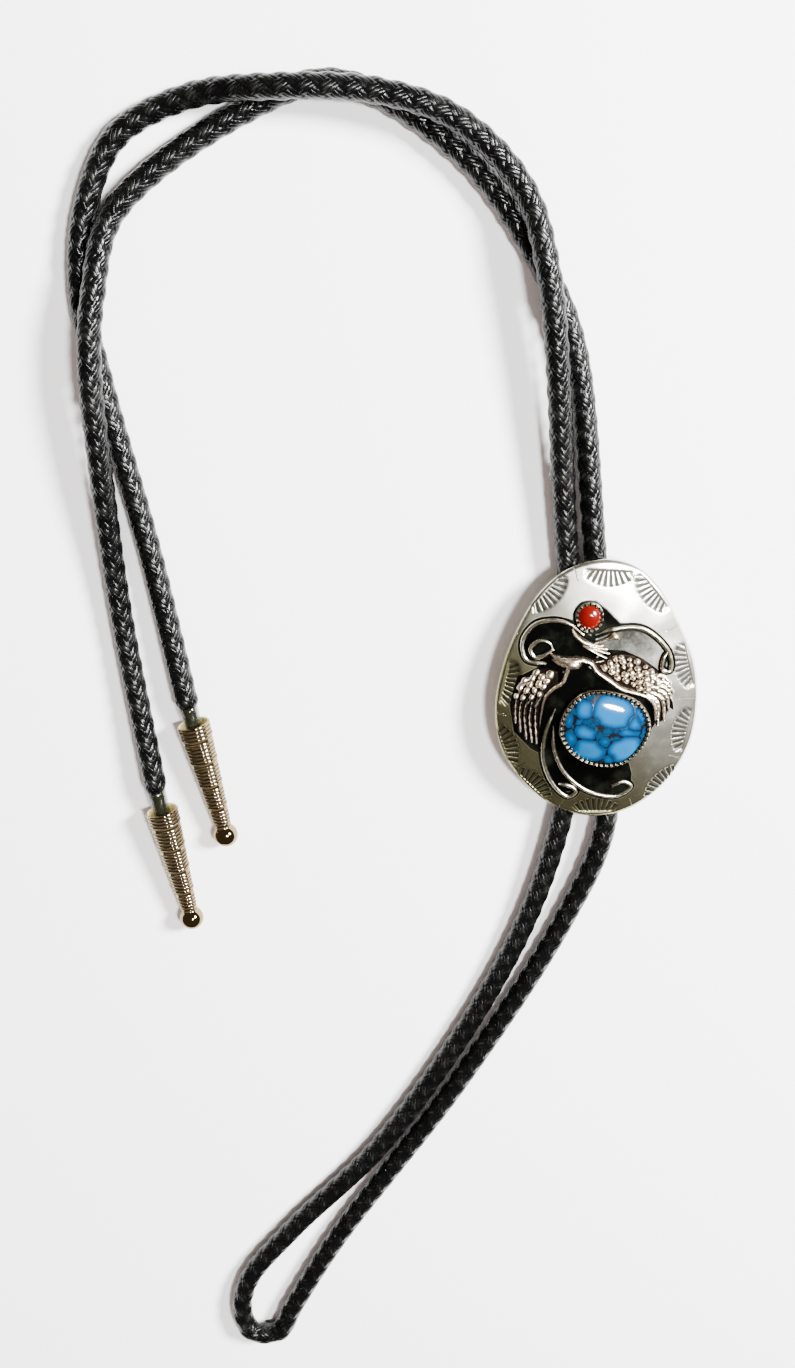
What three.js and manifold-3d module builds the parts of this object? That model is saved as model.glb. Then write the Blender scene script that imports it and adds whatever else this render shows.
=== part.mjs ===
// Bolo tie: a domed silver slide with two stones on one braided cord that ends in two metal tips.
// Millimetres. +X across the slide, +Y towards its narrow end, +Z out of its face, z = 0 the surface it lies on.
import * as THREE from 'three';
import { mergeVertices } from 'three/addons/utils/BufferGeometryUtils.js';
import Module from 'manifold-3d';

const GAP = 0.3; // between pieces that touch

// Slide plate
const PLATE_WALL = 1.0;
const RIM_UNDER = 6.8; // underside of the rim above the surface
const RIM_TOP = RIM_UNDER + PLATE_WALL;
const RIM_ROUND = 0.35; // how far the rim's top edge is rounded down
const DOME_RISE = 1.8; // of the plate's middle above its rim
const PLATE_POINTS = 72; // round the edge

// Bezel cups and stones
const TURQUOISE = { x: 1.7, y: -7.5, wall: 0.5, cup: 2.0, dome: 0.9 };
const CORAL = { x: -2.5, y: 17.1, radius: 2.95, wall: 0.4, cup: 1.5, dome: 0.8 };

// Scroll wires and relief
const WIRE_RADIUS = 0.45;
const WIRE_SIDES = 8;
const WIRE_STEPS = 18;
const SUNK = 0.5; // how deep wires, cups and relief are sunk in the plate
const RELIEF_AT = { x: -0.3, y: 0.6 }; // where the wires' and the eagle's own origin lies on the plate

// Cord clip
const CLIP = { width: 15.2, length: 18, wall: 1.0, height: 7.7, corner: 1.2 };

// Cord, its sleeves and tips
const CORD_RADIUS = 2.5;
const CORD_SIDES = 10;
const CORD_STEPS = 80;
const BEND_STEPS = 12; // how much closer the steps lie in a tight bend
const SLEEVE = { cordRadius: 2.05, tipRadius: 1.8, inTip: 7 };
const TIP_SIDES = 24;

const SILVER = { color: 0xb9b7ab, roughness: 0.3, metalness: 1 };
const TIP_METAL = { color: 0xc4bfb6, roughness: 0.2, metalness: 1 };
const STEEL = { color: 0x9c9c9c, roughness: 0.4, metalness: 1 };
const TURQUOISE_BLUE = { color: 0x009be6, roughness: 0.15, metalness: 0 };
const CORAL_RED = { color: 0xb41208, roughness: 0.15, metalness: 0 };
const BLACK_LEATHER = { color: 0x0c0c0e, roughness: 0.4, metalness: 0 };
const CLEAR_PLASTIC = { color: 0x8d9486, roughness: 0.3, metalness: 0 };

// The plate's edge, anticlockwise from its narrow end.
const PLATE_EDGE = [
  { x: 0.5, y: 28.9 }, { x: -6.3, y: 27.2 }, { x: -12.3, y: 22.3 }, { x: -16.9, y: 14.6 },
  { x: -20.3, y: 5.0 }, { x: -21.6, y: -4.5 }, { x: -19.9, y: -13.4 }, { x: -15.0, y: -21.0 },
  { x: -7.6, y: -26.9 }, { x: 0.5, y: -28.9 }, { x: 8.4, y: -27.0 }, { x: 15.5, y: -21.2 },
  { x: 20.2, y: -12.9 }, { x: 21.6, y: -4.0 }, { x: 20.6, y: 6.0 }, { x: 16.9, y: 14.8 },
  { x: 11.6, y: 23.5 }, { x: 6.6, y: 27.6 },
];

// The turquoise cup's outer edge, from its own centre.
const TURQUOISE_EDGE = [
  { x: 9.6, y: 0.8 }, { x: 7.4, y: 5.7 }, { x: 1.9, y: 8.3 }, { x: -4.0, y: 8.5 }, { x: -7.9, y: 5.5 },
  { x: -9.65, y: -0.5 }, { x: -7.0, y: -5.5 }, { x: -1.8, y: -8.2 }, { x: 4.1, y: -7.9 }, { x: 8.2, y: -3.9 },
];

// Middle lines of the scroll wires on the plate.
const WIRES = {
  left_scroll: [
    { x: -3.2, y: 12.4 }, { x: -5.4, y: 14.4 }, { x: -9.4, y: 15.5 }, { x: -13.5, y: 14.4 },
    { x: -15.9, y: 10.6 }, { x: -14.9, y: 6.8 }, { x: -10.8, y: 6.1 },
  ],
  left_curl: [
    { x: -9.4, y: 9.0 }, { x: -10.3, y: 10.6 }, { x: -12.4, y: 11.0 }, { x: -14.2, y: 9.3 },
    { x: -13.2, y: 7.4 }, { x: -11.3, y: 7.9 },
  ],
  right_scroll: [
    { x: -0.7, y: 12.5 }, { x: 3.2, y: 13.8 }, { x: 8.6, y: 13.9 }, { x: 12.4, y: 11.6 },
    { x: 15.2, y: 7.9 }, { x: 15.4, y: 4.4 }, { x: 13.8, y: 4.7 }, { x: 14.1, y: 7.6 },
  ],
  left_stem: [
    { x: -8.6, y: -3.8 }, { x: -10.6, y: -9.8 }, { x: -10.8, y: -15.5 }, { x: -8.6, y: -21.3 },
    { x: -5.1, y: -24.5 }, { x: -3.5, y: -23.2 }, { x: -5.0, y: -21.8 }, { x: -7.3, y: -21.4 },
  ],
  right_stem: [
    { x: -8.9, y: -7.8 }, { x: -8.5, y: -13.4 }, { x: -5.9, y: -19.0 }, { x: -0.6, y: -23.2 },
    { x: 5.6, y: -24.2 }, { x: 8.4, y: -22.0 }, { x: 6.6, y: -20.8 }, { x: 4.3, y: -21.9 },
  ],
};

// Outlines of the eagle's parts on the plate, and how far each stands out of it.
const EAGLE = {
  right_wing: {
    height: 0.9,
    edge: [
      { x: -2.4, y: 7.3 }, { x: -0.4, y: 3.6 }, { x: 6.2, y: 0.1 }, { x: 11.2, y: -2.2 }, { x: 12.9, y: -5.4 },
      { x: 12.8, y: -8.4 }, { x: 15.2, y: -6.4 }, { x: 16.4, y: -1.0 }, { x: 15.0, y: 2.4 }, { x: 9.9, y: 6.3 },
      { x: 4.6, y: 8.2 }, { x: 1.0, y: 7.2 },
    ],
  },
  left_wing: {
    height: 0.9,
    edge: [
      { x: -8.3, y: 4.2 }, { x: -12.4, y: 4.8 }, { x: -16.3, y: 1.9 }, { x: -17.7, y: -3.8 }, { x: -16.4, y: -9.0 },
      { x: -12.1, y: -12.3 }, { x: -11.7, y: -7.0 }, { x: -10.3, y: -1.9 }, { x: -8.4, y: 1.0 },
    ],
  },
  head_and_neck: {
    height: 1.3,
    edge: [
      { x: -10.2, y: 8.8 }, { x: -8.2, y: 5.9 }, { x: -6.9, y: 2.6 }, { x: -5.8, y: 2.8 }, { x: -5.2, y: 4.9 },
      { x: -2.2, y: 5.0 }, { x: -2.2, y: 7.4 }, { x: -5.0, y: 7.9 },
    ],
  },
  tail: {
    height: 0.9,
    edge: [
      { x: -5.9, y: 12.9 }, { x: -4.3, y: 9.9 }, { x: -1.2, y: 7.6 }, { x: 2.0, y: 7.9 }, { x: 1.7, y: 9.7 },
      { x: 3.9, y: 11.4 }, { x: 3.0, y: 12.1 }, { x: -0.6, y: 10.6 }, { x: -2.8, y: 11.0 },
    ],
  },
};

// The cord's middle line, from one tip to the other. It passes over itself in long low humps.
const CORD_ROUTE = [
  { x: -87.7, y: -5.6, z: 3.8 }, { x: -94.6, y: 29.5, z: 2.5 }, { x: -102.5, y: 64.0, z: 2.5 },
  { x: -105.7, y: 82.0, z: 2.5 }, { x: -103.8, y: 98.0, z: 2.5 }, { x: -97.0, y: 111.5, z: 2.5 },
  { x: -83.0, y: 118.6, z: 3.4 }, { x: -67.0, y: 120.3, z: 7.7 }, { x: -46.0, y: 119.5, z: 8.0 },
  { x: -31.0, y: 114.5, z: 7.0 }, { x: -18.5, y: 102.5, z: 6.6 }, { x: -13.1, y: 87.0, z: 8.0 },
  { x: -6.9, y: 28.5, z: 3.7 }, { x: -3.2, y: 0.0, z: 3.8 }, { x: -6.5, y: -33.0, z: 3.5 },
  { x: -17.5, y: -67.0, z: 2.5 }, { x: -45.8, y: -115.8, z: 2.5 }, { x: -68.0, y: -140.8, z: 2.5 },
  { x: -79.4, y: -156.0, z: 2.5 }, { x: -81.4, y: -165.8, z: 2.5 }, { x: -79.0, y: -171.9, z: 2.5 },
  { x: -72.5, y: -171.9, z: 2.5 }, { x: -68.5, y: -164.0, z: 2.5 }, { x: -57.5, y: -143.8, z: 2.5 },
  { x: -28.5, y: -99.8, z: 2.5 }, { x: -5.0, y: -57.3, z: 2.5 }, { x: 3.6, y: -33.0, z: 3.5 },
  { x: 2.4, y: 0.0, z: 3.8 }, { x: -1.0, y: 28.5, z: 3.7 }, { x: -6.9, y: 72.0, z: 2.5 },
  { x: -13.5, y: 86.7, z: 2.5 }, { x: -29.6, y: 108.2, z: 2.5 }, { x: -54.0, y: 121.4, z: 2.5 },
  { x: -72.0, y: 116.2, z: 2.5 }, { x: -98.0, y: 97.5, z: 4.1 }, { x: -102.4, y: 82.0, z: 7.4 },
  { x: -103.8, y: 69.0, z: 8.0 }, { x: -103.4, y: 53.0, z: 6.9 }, { x: -101.6, y: 17.0, z: 2.5 },
  { x: -95.6, y: -25.3, z: 3.8 },
];

// The tips taper from mouth to ball, with a raised ring at each step of the ring pitch.
const TIP = { mouthRadius: 3.62, taper: 0.073, ballRadius: 2.7, ballAt: 27.5, neckAt: 25.2 };
const TIP_RING = { first: 2.9, pitch: 5.65, count: 4, halfWidth: 0.35, stand: 0.2 };
const TIP_BORE = { depth: 12, mouthRadius: 3.2, endRadius: 2.2 };

// Each tip lies on the surface on its mouth and its ball.
const TIPS = [
  { number: 1, cordEnd: CORD_ROUTE.at(-1), ball: { x: -89.4, y: -56.1 } },
  { number: 2, cordEnd: CORD_ROUTE[0], ball: { x: -80.9, y: -35.5 } },
];

const wasm = await Module();
wasm.setup();

function mesh(name, geometry, finish) {
  const material = new THREE.MeshStandardMaterial(finish);
  const made = new THREE.Mesh(geometry, material);
  made.name = name;
  return made;
}

function toManifold(geometry) {
  const bare = geometry.clone();
  bare.deleteAttribute('normal');
  bare.deleteAttribute('uv');
  const welded = mergeVertices(bare, 1e-5);
  return new wasm.Manifold(new wasm.Mesh({
    numProp: 3,
    vertProperties: new Float32Array(welded.attributes.position.array),
    triVerts: new Uint32Array(welded.index.array),
  }));
}

function fromManifold(solid) {
  const made = solid.getMesh();
  const geometry = new THREE.BufferGeometry();
  geometry.setAttribute('position', new THREE.BufferAttribute(made.vertProperties, 3));
  geometry.setIndex(new THREE.BufferAttribute(made.triVerts, 1));
  return geometry;
}

function closedCurve(points, count) {
  const knots = points.map((p) => new THREE.Vector3(p.x, p.y, 0));
  const curve = new THREE.CatmullRomCurve3(knots, true, 'centripetal');
  return Array.from({ length: count }, (_, i) => curve.getPoint(i / count));
}

function circle(radius, count) {
  const turn = (2 * Math.PI) / count;
  return Array.from({ length: count }, (_, i) => new THREE.Vector3(
    radius * Math.cos(i * turn),
    radius * Math.sin(i * turn),
    0,
  ));
}

// A closed solid from scaled copies of one anticlockwise outline. Rows run up the outside, so the
// first is the bottom and the last the top; loop joins the last row back to the first, as a ring.
function ringSolid(outline, rows, loop = false) {
  const count = outline.length;
  const corners = rows.flatMap((row) => outline.flatMap((p) => [p.x * row.share, p.y * row.share, row.z]));
  const faces = [];
  const lastBand = loop ? rows.length : rows.length - 1;
  for (let row = 0; row < lastBand; row += 1) {
    const low = row * count;
    const high = ((row + 1) % rows.length) * count;
    for (let i = 0; i < count; i += 1) {
      const next = (i + 1) % count;
      faces.push(low + i, low + next, high + next, low + i, high + next, high + i);
    }
  }
  if (!loop) {
    const bottom = corners.length / 3;
    const top = bottom + 1;
    const highest = (rows.length - 1) * count;
    corners.push(0, 0, rows[0].z, 0, 0, rows.at(-1).z);
    for (let i = 0; i < count; i += 1) {
      const next = (i + 1) % count;
      faces.push(bottom, next, i, top, highest + i, highest + next);
    }
  }
  const geometry = new THREE.BufferGeometry();
  geometry.setAttribute('position', new THREE.Float32BufferAttribute(corners, 3));
  geometry.setIndex(faces);
  return geometry;
}

const plateEdge = closedCurve(PLATE_EDGE, PLATE_POINTS);

// How far out a place on the plate is: 0 at its middle, 1 at its edge.
function edgeShare(x, y) {
  const angle = Math.atan2(y, x);
  const turns = (p) => (Math.atan2(p.y, p.x) - angle + 4 * Math.PI) % (2 * Math.PI);
  const before = plateEdge.reduce((best, p) => (turns(p) > turns(best) ? p : best));
  const after = plateEdge.reduce((best, p) => (turns(p) < turns(best) ? p : best));
  const back = 2 * Math.PI - turns(before);
  const share = back / (back + turns(after));
  const radius = before.length() + (after.length() - before.length()) * share;
  return Math.hypot(x, y) / radius;
}

function plateTop(x, y) {
  return RIM_TOP + DOME_RISE * (1 - edgeShare(x, y) ** 2);
}

function plate() {
  const under = [0.3, 0.55, 0.78, 0.93];
  const over = [0.985, 0.93, 0.78, 0.6, 0.4, 0.2];
  const rise = (share) => DOME_RISE * (1 - share ** 2);
  const rows = [
    ...under.map((share) => ({ share, z: RIM_UNDER + rise(share) })),
    { share: 0.995, z: RIM_UNDER },
    { share: 1, z: RIM_TOP - RIM_ROUND },
    ...over.map((share) => ({ share, z: RIM_TOP + rise(share) })),
  ];
  return ringSolid(plateEdge, rows);
}

function onPlate(place) {
  return { x: place.x + RELIEF_AT.x, y: place.y + RELIEF_AT.y };
}

function wire(points) {
  const knots = points.map(onPlate).map((p) => (
    new THREE.Vector3(p.x, p.y, plateTop(p.x, p.y) + WIRE_RADIUS - SUNK / 2)
  ));
  const path = new THREE.CatmullRomCurve3(knots, false, 'centripetal');
  const section = new THREE.Shape(circle(WIRE_RADIUS, WIRE_SIDES).map((p) => new THREE.Vector2(p.x, p.y)));
  return new THREE.ExtrudeGeometry(section, { steps: WIRE_STEPS, extrudePath: path });
}

// A flat outline laid over the plate's dome, its underside sunk in the plate.
function relief(part) {
  const edge = closedCurve(part.edge.map(onPlate), 3 * part.edge.length);
  const shape = new THREE.Shape(edge.map((p) => new THREE.Vector2(p.x, p.y)));
  const geometry = new THREE.ExtrudeGeometry(shape, { depth: 1, bevelEnabled: false });
  const places = geometry.attributes.position;
  for (let i = 0; i < places.count; i += 1) {
    const lift = places.getZ(i) > 0.5 ? part.height : -SUNK;
    places.setZ(i, plateTop(places.getX(i), places.getY(i)) + lift);
  }
  return geometry;
}

// A stone's cup: a thin wall that leans in at its top edge.
function cup(outline, place, reach) {
  const foot = plateTop(place.x, place.y) - SUNK - 0.5;
  const top = plateTop(place.x, place.y) + place.cup;
  const inner = 1 - place.wall / reach;
  const rows = [
    { share: 1, z: foot },
    { share: 1, z: top - 0.5 },
    { share: 0.99, z: top },
    { share: inner, z: top },
    { share: inner, z: foot },
  ];
  return ringSolid(outline, rows, true).translate(place.x, place.y, 0);
}

function stone(outline, place, reach) {
  const inner = 1 - (place.wall + GAP) / reach;
  const inward = 1 - reach / Math.hypot(place.x, place.y);
  const bottom = plateTop(place.x * inward, place.y * inward) + GAP;
  const girdle = plateTop(place.x, place.y) + place.cup - 0.2;
  const rows = [
    { share: inner * 0.97, z: bottom },
    { share: inner, z: bottom + 0.2 },
    { share: inner, z: girdle },
    ...[0.85, 0.6, 0.3].map((share) => ({ share: share * inner, z: girdle + place.dome * (1 - share ** 2) })),
  ];
  return ringSolid(outline, rows).translate(place.x, place.y, 0);
}

const turquoiseEdge = closedCurve(TURQUOISE_EDGE, 40);
const turquoiseReach = 9;
const coralEdge = circle(CORAL.radius, 24);

function slide() {
  const pieces = [
    plate(),
    cup(turquoiseEdge, TURQUOISE, turquoiseReach),
    cup(coralEdge, CORAL, CORAL.radius),
    ...Object.values(WIRES).map(wire),
    ...Object.values(EAGLE).map(relief),
  ];
  return fromManifold(pieces.map(toManifold).reduce((whole, piece) => whole.add(piece)));
}

function roundedBox(path, halfWidth, low, high, corner) {
  path.moveTo(-halfWidth + corner, low);
  path.lineTo(halfWidth - corner, low);
  path.absarc(halfWidth - corner, low + corner, corner, -Math.PI / 2, 0);
  path.absarc(halfWidth - corner, high - corner, corner, 0, Math.PI / 2);
  path.absarc(-halfWidth + corner, high - corner, corner, Math.PI / 2, Math.PI);
  path.absarc(-halfWidth + corner, low + corner, corner, Math.PI, 1.5 * Math.PI);
  return path;
}

function cordClip() {
  const { width, length, wall, height, corner } = CLIP;
  const section = roundedBox(new THREE.Shape(), width / 2, 0, height, corner);
  const channel = roundedBox(new THREE.Path(), width / 2 - wall, wall, height - wall, corner - wall / 2);
  section.holes.push(channel);
  const geometry = new THREE.ExtrudeGeometry(section, { depth: length, bevelEnabled: false, curveSegments: 4 });
  return geometry.rotateX(Math.PI / 2).translate(0, length / 2, 0);
}

// The cord's line, walked in steps that lie closer together where it bends.
class CordLine extends THREE.Curve {
  constructor(route) {
    super();
    const knots = route.map((p) => new THREE.Vector3(p.x, p.y, p.z));
    this.line = new THREE.CatmullRomCurve3(knots, false, 'centripetal');
    this.walk = [{ effort: 0, share: 0 }];
    const samples = 3000;
    for (let i = 1; i < samples; i += 1) {
      const [a, b, c] = [-1, 0, 1].map((side) => this.line.getPoint((i + side) / samples));
      const step = a.distanceTo(b);
      const turn = b.clone().sub(a).angleTo(c.clone().sub(b));
      const effort = step + (BEND_STEPS * (turn * CORD_RADIUS) ** 2) / step;
      this.walk.push({ effort: this.walk[i - 1].effort + effort, share: i / samples });
    }
  }

  shareAt(u) {
    const goal = u * this.walk.at(-1).effort;
    if (u >= 1) return 1;
    const after = this.walk.findIndex((w) => w.effort >= goal);
    if (after <= 0) return 0;
    const [low, high] = [this.walk[after - 1], this.walk[after]];
    return low.share + ((high.share - low.share) * (goal - low.effort)) / (high.effort - low.effort);
  }

  getPoint(u) {
    return this.line.getPoint(this.shareAt(u));
  }

  getPointAt(u) {
    return this.getPoint(u);
  }

  getTangentAt(u) {
    return this.line.getTangent(this.shareAt(u));
  }
}

const cordLine = new CordLine(CORD_ROUTE);

function cord() {
  const section = new THREE.Shape(circle(CORD_RADIUS, CORD_SIDES).map((p) => new THREE.Vector2(p.x, p.y)));
  return new THREE.ExtrudeGeometry(section, { steps: CORD_STEPS, extrudePath: cordLine });
}

// Turns a piece made along +Z from the origin so that it runs from one place towards another.
function pointed(geometry, from, to) {
  const heading = to.clone().sub(from).normalize();
  const turn = new THREE.Quaternion().setFromUnitVectors(new THREE.Vector3(0, 0, 1), heading);
  return geometry.applyQuaternion(turn).translate(from.x, from.y, from.z);
}

function sleeve(shown) {
  const outline = circle(SLEEVE.cordRadius, 16);
  const taper = SLEEVE.tipRadius / SLEEVE.cordRadius;
  const rows = [{ share: 1, z: 0 }, { share: taper, z: shown }, { share: taper, z: shown + SLEEVE.inTip }];
  return ringSolid(outline, rows);
}

function tipRadius(at) {
  return TIP.mouthRadius - TIP.taper * at;
}

function tip() {
  const rings = Array.from({ length: TIP_RING.count }, (_, i) => TIP_RING.first + i * TIP_RING.pitch);
  const outside = rings.flatMap((at) => [
    new THREE.Vector2(tipRadius(at - TIP_RING.halfWidth), at - TIP_RING.halfWidth),
    new THREE.Vector2(tipRadius(at) + TIP_RING.stand, at),
    new THREE.Vector2(tipRadius(at + TIP_RING.halfWidth), at + TIP_RING.halfWidth),
  ]);
  const ballAngles = [140, 120, 100, 80, 60, 40, 20, 0].map(THREE.MathUtils.degToRad);
  const ball = ballAngles.map((angle) => new THREE.Vector2(
    TIP.ballRadius * Math.sin(angle),
    TIP.ballAt + TIP.ballRadius * Math.cos(angle),
  ));
  const profile = [
    new THREE.Vector2(0, TIP_BORE.depth),
    new THREE.Vector2(TIP_BORE.endRadius, TIP_BORE.depth),
    new THREE.Vector2(TIP_BORE.mouthRadius, 0),
    new THREE.Vector2(TIP.mouthRadius, 0),
    ...outside,
    new THREE.Vector2(tipRadius(TIP.neckAt), TIP.neckAt),
    ...ball,
  ];
  profile.at(-1).x = 0;
  return new THREE.LatheGeometry(profile, TIP_SIDES).rotateX(Math.PI / 2);
}

function tipPieces({ number, cordEnd, ball }) {
  const end = new THREE.Vector3(cordEnd.x, cordEnd.y, cordEnd.z);
  const ballCentre = new THREE.Vector3(ball.x, ball.y, TIP.ballRadius);
  const heading = ballCentre.clone().sub(end).normalize();
  const mouth = ballCentre.clone().addScaledVector(heading, -TIP.ballAt);
  const sleeveStart = end.clone().addScaledVector(heading, GAP);
  const shown = sleeveStart.distanceTo(mouth);
  return [
    mesh(`cord_tip_${number}`, pointed(tip(), mouth, ballCentre), TIP_METAL),
    mesh(`cord_sleeve_${number}`, pointed(sleeve(shown), sleeveStart, ballCentre), CLEAR_PLASTIC),
  ];
}

const bolo = new THREE.Group();
bolo.name = 'bolo_tie';
bolo.add(
  mesh('slide_plate', slide(), SILVER),
  mesh('turquoise_stone', stone(turquoiseEdge, TURQUOISE, turquoiseReach), TURQUOISE_BLUE),
  mesh('coral_stone', stone(coralEdge, CORAL, CORAL.radius), CORAL_RED),
  mesh('cord_clip', cordClip(), STEEL),
  mesh('cord', cord(), BLACK_LEATHER),
  ...TIPS.flatMap(tipPieces),
);

export default bolo;
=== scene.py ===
"""Bolo tie lying on a pale surface: a domed silver slide with cast eagle relief and two stones, on a
braided leather cord with two plated tips. Metres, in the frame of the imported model."""

import math

import bpy
import numpy as np
from mathutils import Matrix, Vector


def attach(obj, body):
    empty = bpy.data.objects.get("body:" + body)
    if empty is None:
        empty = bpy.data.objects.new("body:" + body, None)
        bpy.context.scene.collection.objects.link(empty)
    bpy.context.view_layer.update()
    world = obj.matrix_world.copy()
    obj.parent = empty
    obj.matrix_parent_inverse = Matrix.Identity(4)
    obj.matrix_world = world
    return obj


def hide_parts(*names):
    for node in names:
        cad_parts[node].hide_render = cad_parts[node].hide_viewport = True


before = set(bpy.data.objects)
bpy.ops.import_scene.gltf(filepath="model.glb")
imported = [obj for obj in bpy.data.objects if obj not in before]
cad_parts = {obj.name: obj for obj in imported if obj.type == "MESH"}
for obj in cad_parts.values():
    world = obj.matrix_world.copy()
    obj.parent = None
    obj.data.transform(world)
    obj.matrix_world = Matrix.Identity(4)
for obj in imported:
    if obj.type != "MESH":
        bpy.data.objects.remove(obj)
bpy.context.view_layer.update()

MM = 0.001
rng = np.random.default_rng(7)

# ---------------------------------------------------------------- driving sizes, in metres
CORD_DIAMETER = 5.0 * MM
BRAID_CROSSING = 4.4 * MM  # along the cord, from one crossing to the next
BRAID_LACES = 4  # each way round
CORD_SIDES = 28
CORD_SIZES = {"Radius": CORD_DIAMETER / 2, "Lace height": 0.24 * MM, "End rounding": 2.4 * MM}
LACE_BOW = 0.75  # how far a lace rises and dips as it crosses the others, in lace heights
MEAN_LACE_HEIGHT = 1.45  # of the upper lace over the cord's own round, in lace heights
RIM_TOP = 7.8 * MM
RIM_UNDER = 6.8 * MM
DOME_RISE = 1.8 * MM
TURQUOISE_AT = (1.7 * MM, -7.5 * MM)
CORAL_AT = (-2.5 * MM, 17.1 * MM)
RELIEF_AT = (-0.3 * MM, 0.6 * MM)  # where the wires' and the eagle's own origin lies on the plate
CORAL_RADIUS = 2.95 * MM

CAMERA_AT = (-42.5 * MM, 105.0 * MM, 316.5 * MM)
CAMERA_TILT = math.radians(18.5)
CAMERA_LENS = 40.26

# The cord's middle line, from one tip to the other, in millimetres.
CORD_ROUTE = [
    (-87.7, -5.6, 3.8), (-94.6, 29.5, 2.5), (-102.5, 64.0, 2.5), (-105.7, 82.0, 2.5), (-103.8, 98.0, 2.5),
    (-97.0, 111.5, 2.5), (-83.0, 118.6, 3.4), (-67.0, 120.3, 7.7), (-46.0, 119.5, 8.0), (-31.0, 114.5, 7.0),
    (-18.5, 102.5, 6.6), (-13.1, 87.0, 8.0), (-6.9, 28.5, 3.7), (-3.2, 0.0, 3.8), (-6.5, -33.0, 3.5),
    (-17.5, -67.0, 2.5), (-45.8, -115.8, 2.5), (-68.0, -140.8, 2.5), (-79.4, -156.0, 2.5),
    (-81.4, -165.8, 2.5), (-79.0, -171.9, 2.5), (-72.5, -171.9, 2.5), (-68.5, -164.0, 2.5),
    (-57.5, -143.8, 2.5), (-28.5, -99.8, 2.5), (-5.0, -57.3, 2.5), (3.6, -33.0, 3.5), (2.4, 0.0, 3.8),
    (-1.0, 28.5, 3.7), (-6.9, 72.0, 2.5), (-13.5, 86.7, 2.5), (-29.6, 108.2, 2.5), (-54.0, 121.4, 2.5),
    (-72.0, 116.2, 2.5), (-98.0, 97.5, 4.1), (-102.4, 82.0, 7.4), (-103.8, 69.0, 8.0), (-103.4, 53.0, 6.9),
    (-101.6, 17.0, 2.5), (-95.6, -25.3, 3.8),
]


# ---------------------------------------------------------------- node graphs
class Value:
    """A node's output as a number: + - * / and ** on it add Math nodes to its graph."""

    def __init__(self, graph, socket):
        self.graph = graph
        self.socket = socket

    def __add__(self, other):
        return self.graph.maths("ADD", self, other)

    def __sub__(self, other):
        return self.graph.maths("SUBTRACT", self, other)

    def __rsub__(self, other):
        return self.graph.maths("SUBTRACT", other, self)

    def __mul__(self, other):
        return self.graph.maths("MULTIPLY", self, other)

    def __truediv__(self, other):
        return self.graph.maths("DIVIDE", self, other)

    def __rtruediv__(self, other):
        return self.graph.maths("DIVIDE", other, self)

    def __pow__(self, other):
        return self.graph.maths("POWER", self, other)

    __radd__ = __add__
    __rmul__ = __mul__


class Graph:
    """Makes nodes in one tree, for a material or for Geometry Nodes."""

    def __init__(self, tree):
        self.tree = tree

    def node(self, kind, settings=None, inputs=None):
        """A node of a kind, with its settings made first and then its sockets fed."""
        made = self.tree.nodes.new(kind)
        for name, value in (settings or {}).items():
            setattr(made, name, value)
        for name, value in (inputs or {}).items():
            self.feed(made.inputs[name], value)
        return made

    def feed(self, socket, value):
        if isinstance(value, Value):
            value = value.socket
        if isinstance(value, bpy.types.NodeSocket):
            self.tree.links.new(value, socket)
        else:
            socket.default_value = value

    def out(self, node, name=0):
        return Value(self, node.outputs[name])

    def maths(self, operation, *values):
        return self.out(self.node("ShaderNodeMath", {"operation": operation}, dict(enumerate(values))))

    def ramp(self, value, low, high, to_low=0.0, to_high=1.0):
        """value carried smoothly from low..high to to_low..to_high."""
        settings = {"interpolation_type": "SMOOTHSTEP"}
        values = {"Value": value, "From Min": low, "From Max": high, "To Min": to_low, "To Max": to_high}
        return self.out(self.node("ShaderNodeMapRange", settings, values))

    def mix(self, factor, a, b):
        """Colour a where factor is 0 and b where it is 1, on the node's colour sockets."""
        return self.node("ShaderNodeMix", {"data_type": "RGBA"}, {0: factor, 6: a, 7: b}).outputs[2]

    def attribute(self, name, output="Fac"):
        return self.out(self.node("ShaderNodeAttribute", {"attribute_name": name}), output)

    def parts(self, vector):
        split = self.node("ShaderNodeSeparateXYZ", None, {0: vector})
        return [self.out(split, i) for i in range(3)]

    def store(self, geometry, label, value, kind="FLOAT"):
        """The geometry with value kept on its points under a name."""
        settings = {"data_type": kind, "domain": "POINT"}
        values = {"Geometry": geometry, "Name": label, "Value": value}
        return self.node("GeometryNodeStoreNamedAttribute", settings, values).outputs[0]

    def named(self, label):
        node = self.node("GeometryNodeInputNamedAttribute", {"data_type": "FLOAT"}, {"Name": label})
        return self.out(node, "Attribute")


def rgb(r, g, b):
    return (r, g, b, 1.0)


class Finish:
    """A material with one Principled shader, and the graph that feeds it."""

    def __init__(self, name, **constants):
        self.material = bpy.data.materials.new(name)
        self.material.use_nodes = True
        self.graph = Graph(self.material.node_tree)
        self.shader = self.material.node_tree.nodes["Principled BSDF"]
        self.where = self.graph.node("ShaderNodeTexCoord").outputs["Object"]
        for socket, value in constants.items():
            self.shader.inputs[socket.replace("_", " ")].default_value = value

    def noise(self, scale, detail, rough):
        """Clouds of 0 to 1 over the piece, with scale of them in a metre."""
        values = {"Vector": self.where, "Scale": scale, "Detail": detail, "Roughness": rough}
        return self.graph.out(self.graph.node("ShaderNodeTexNoise", None, values))

    def drive(self, socket, value):
        self.graph.feed(self.shader.inputs[socket], value)

    def bump(self, height, depth, strength=1.0):
        values = {"Height": height, "Distance": depth, "Strength": strength}
        made = self.graph.node("ShaderNodeBump", None, values)
        self.drive("Normal", made.outputs["Normal"])


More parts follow.
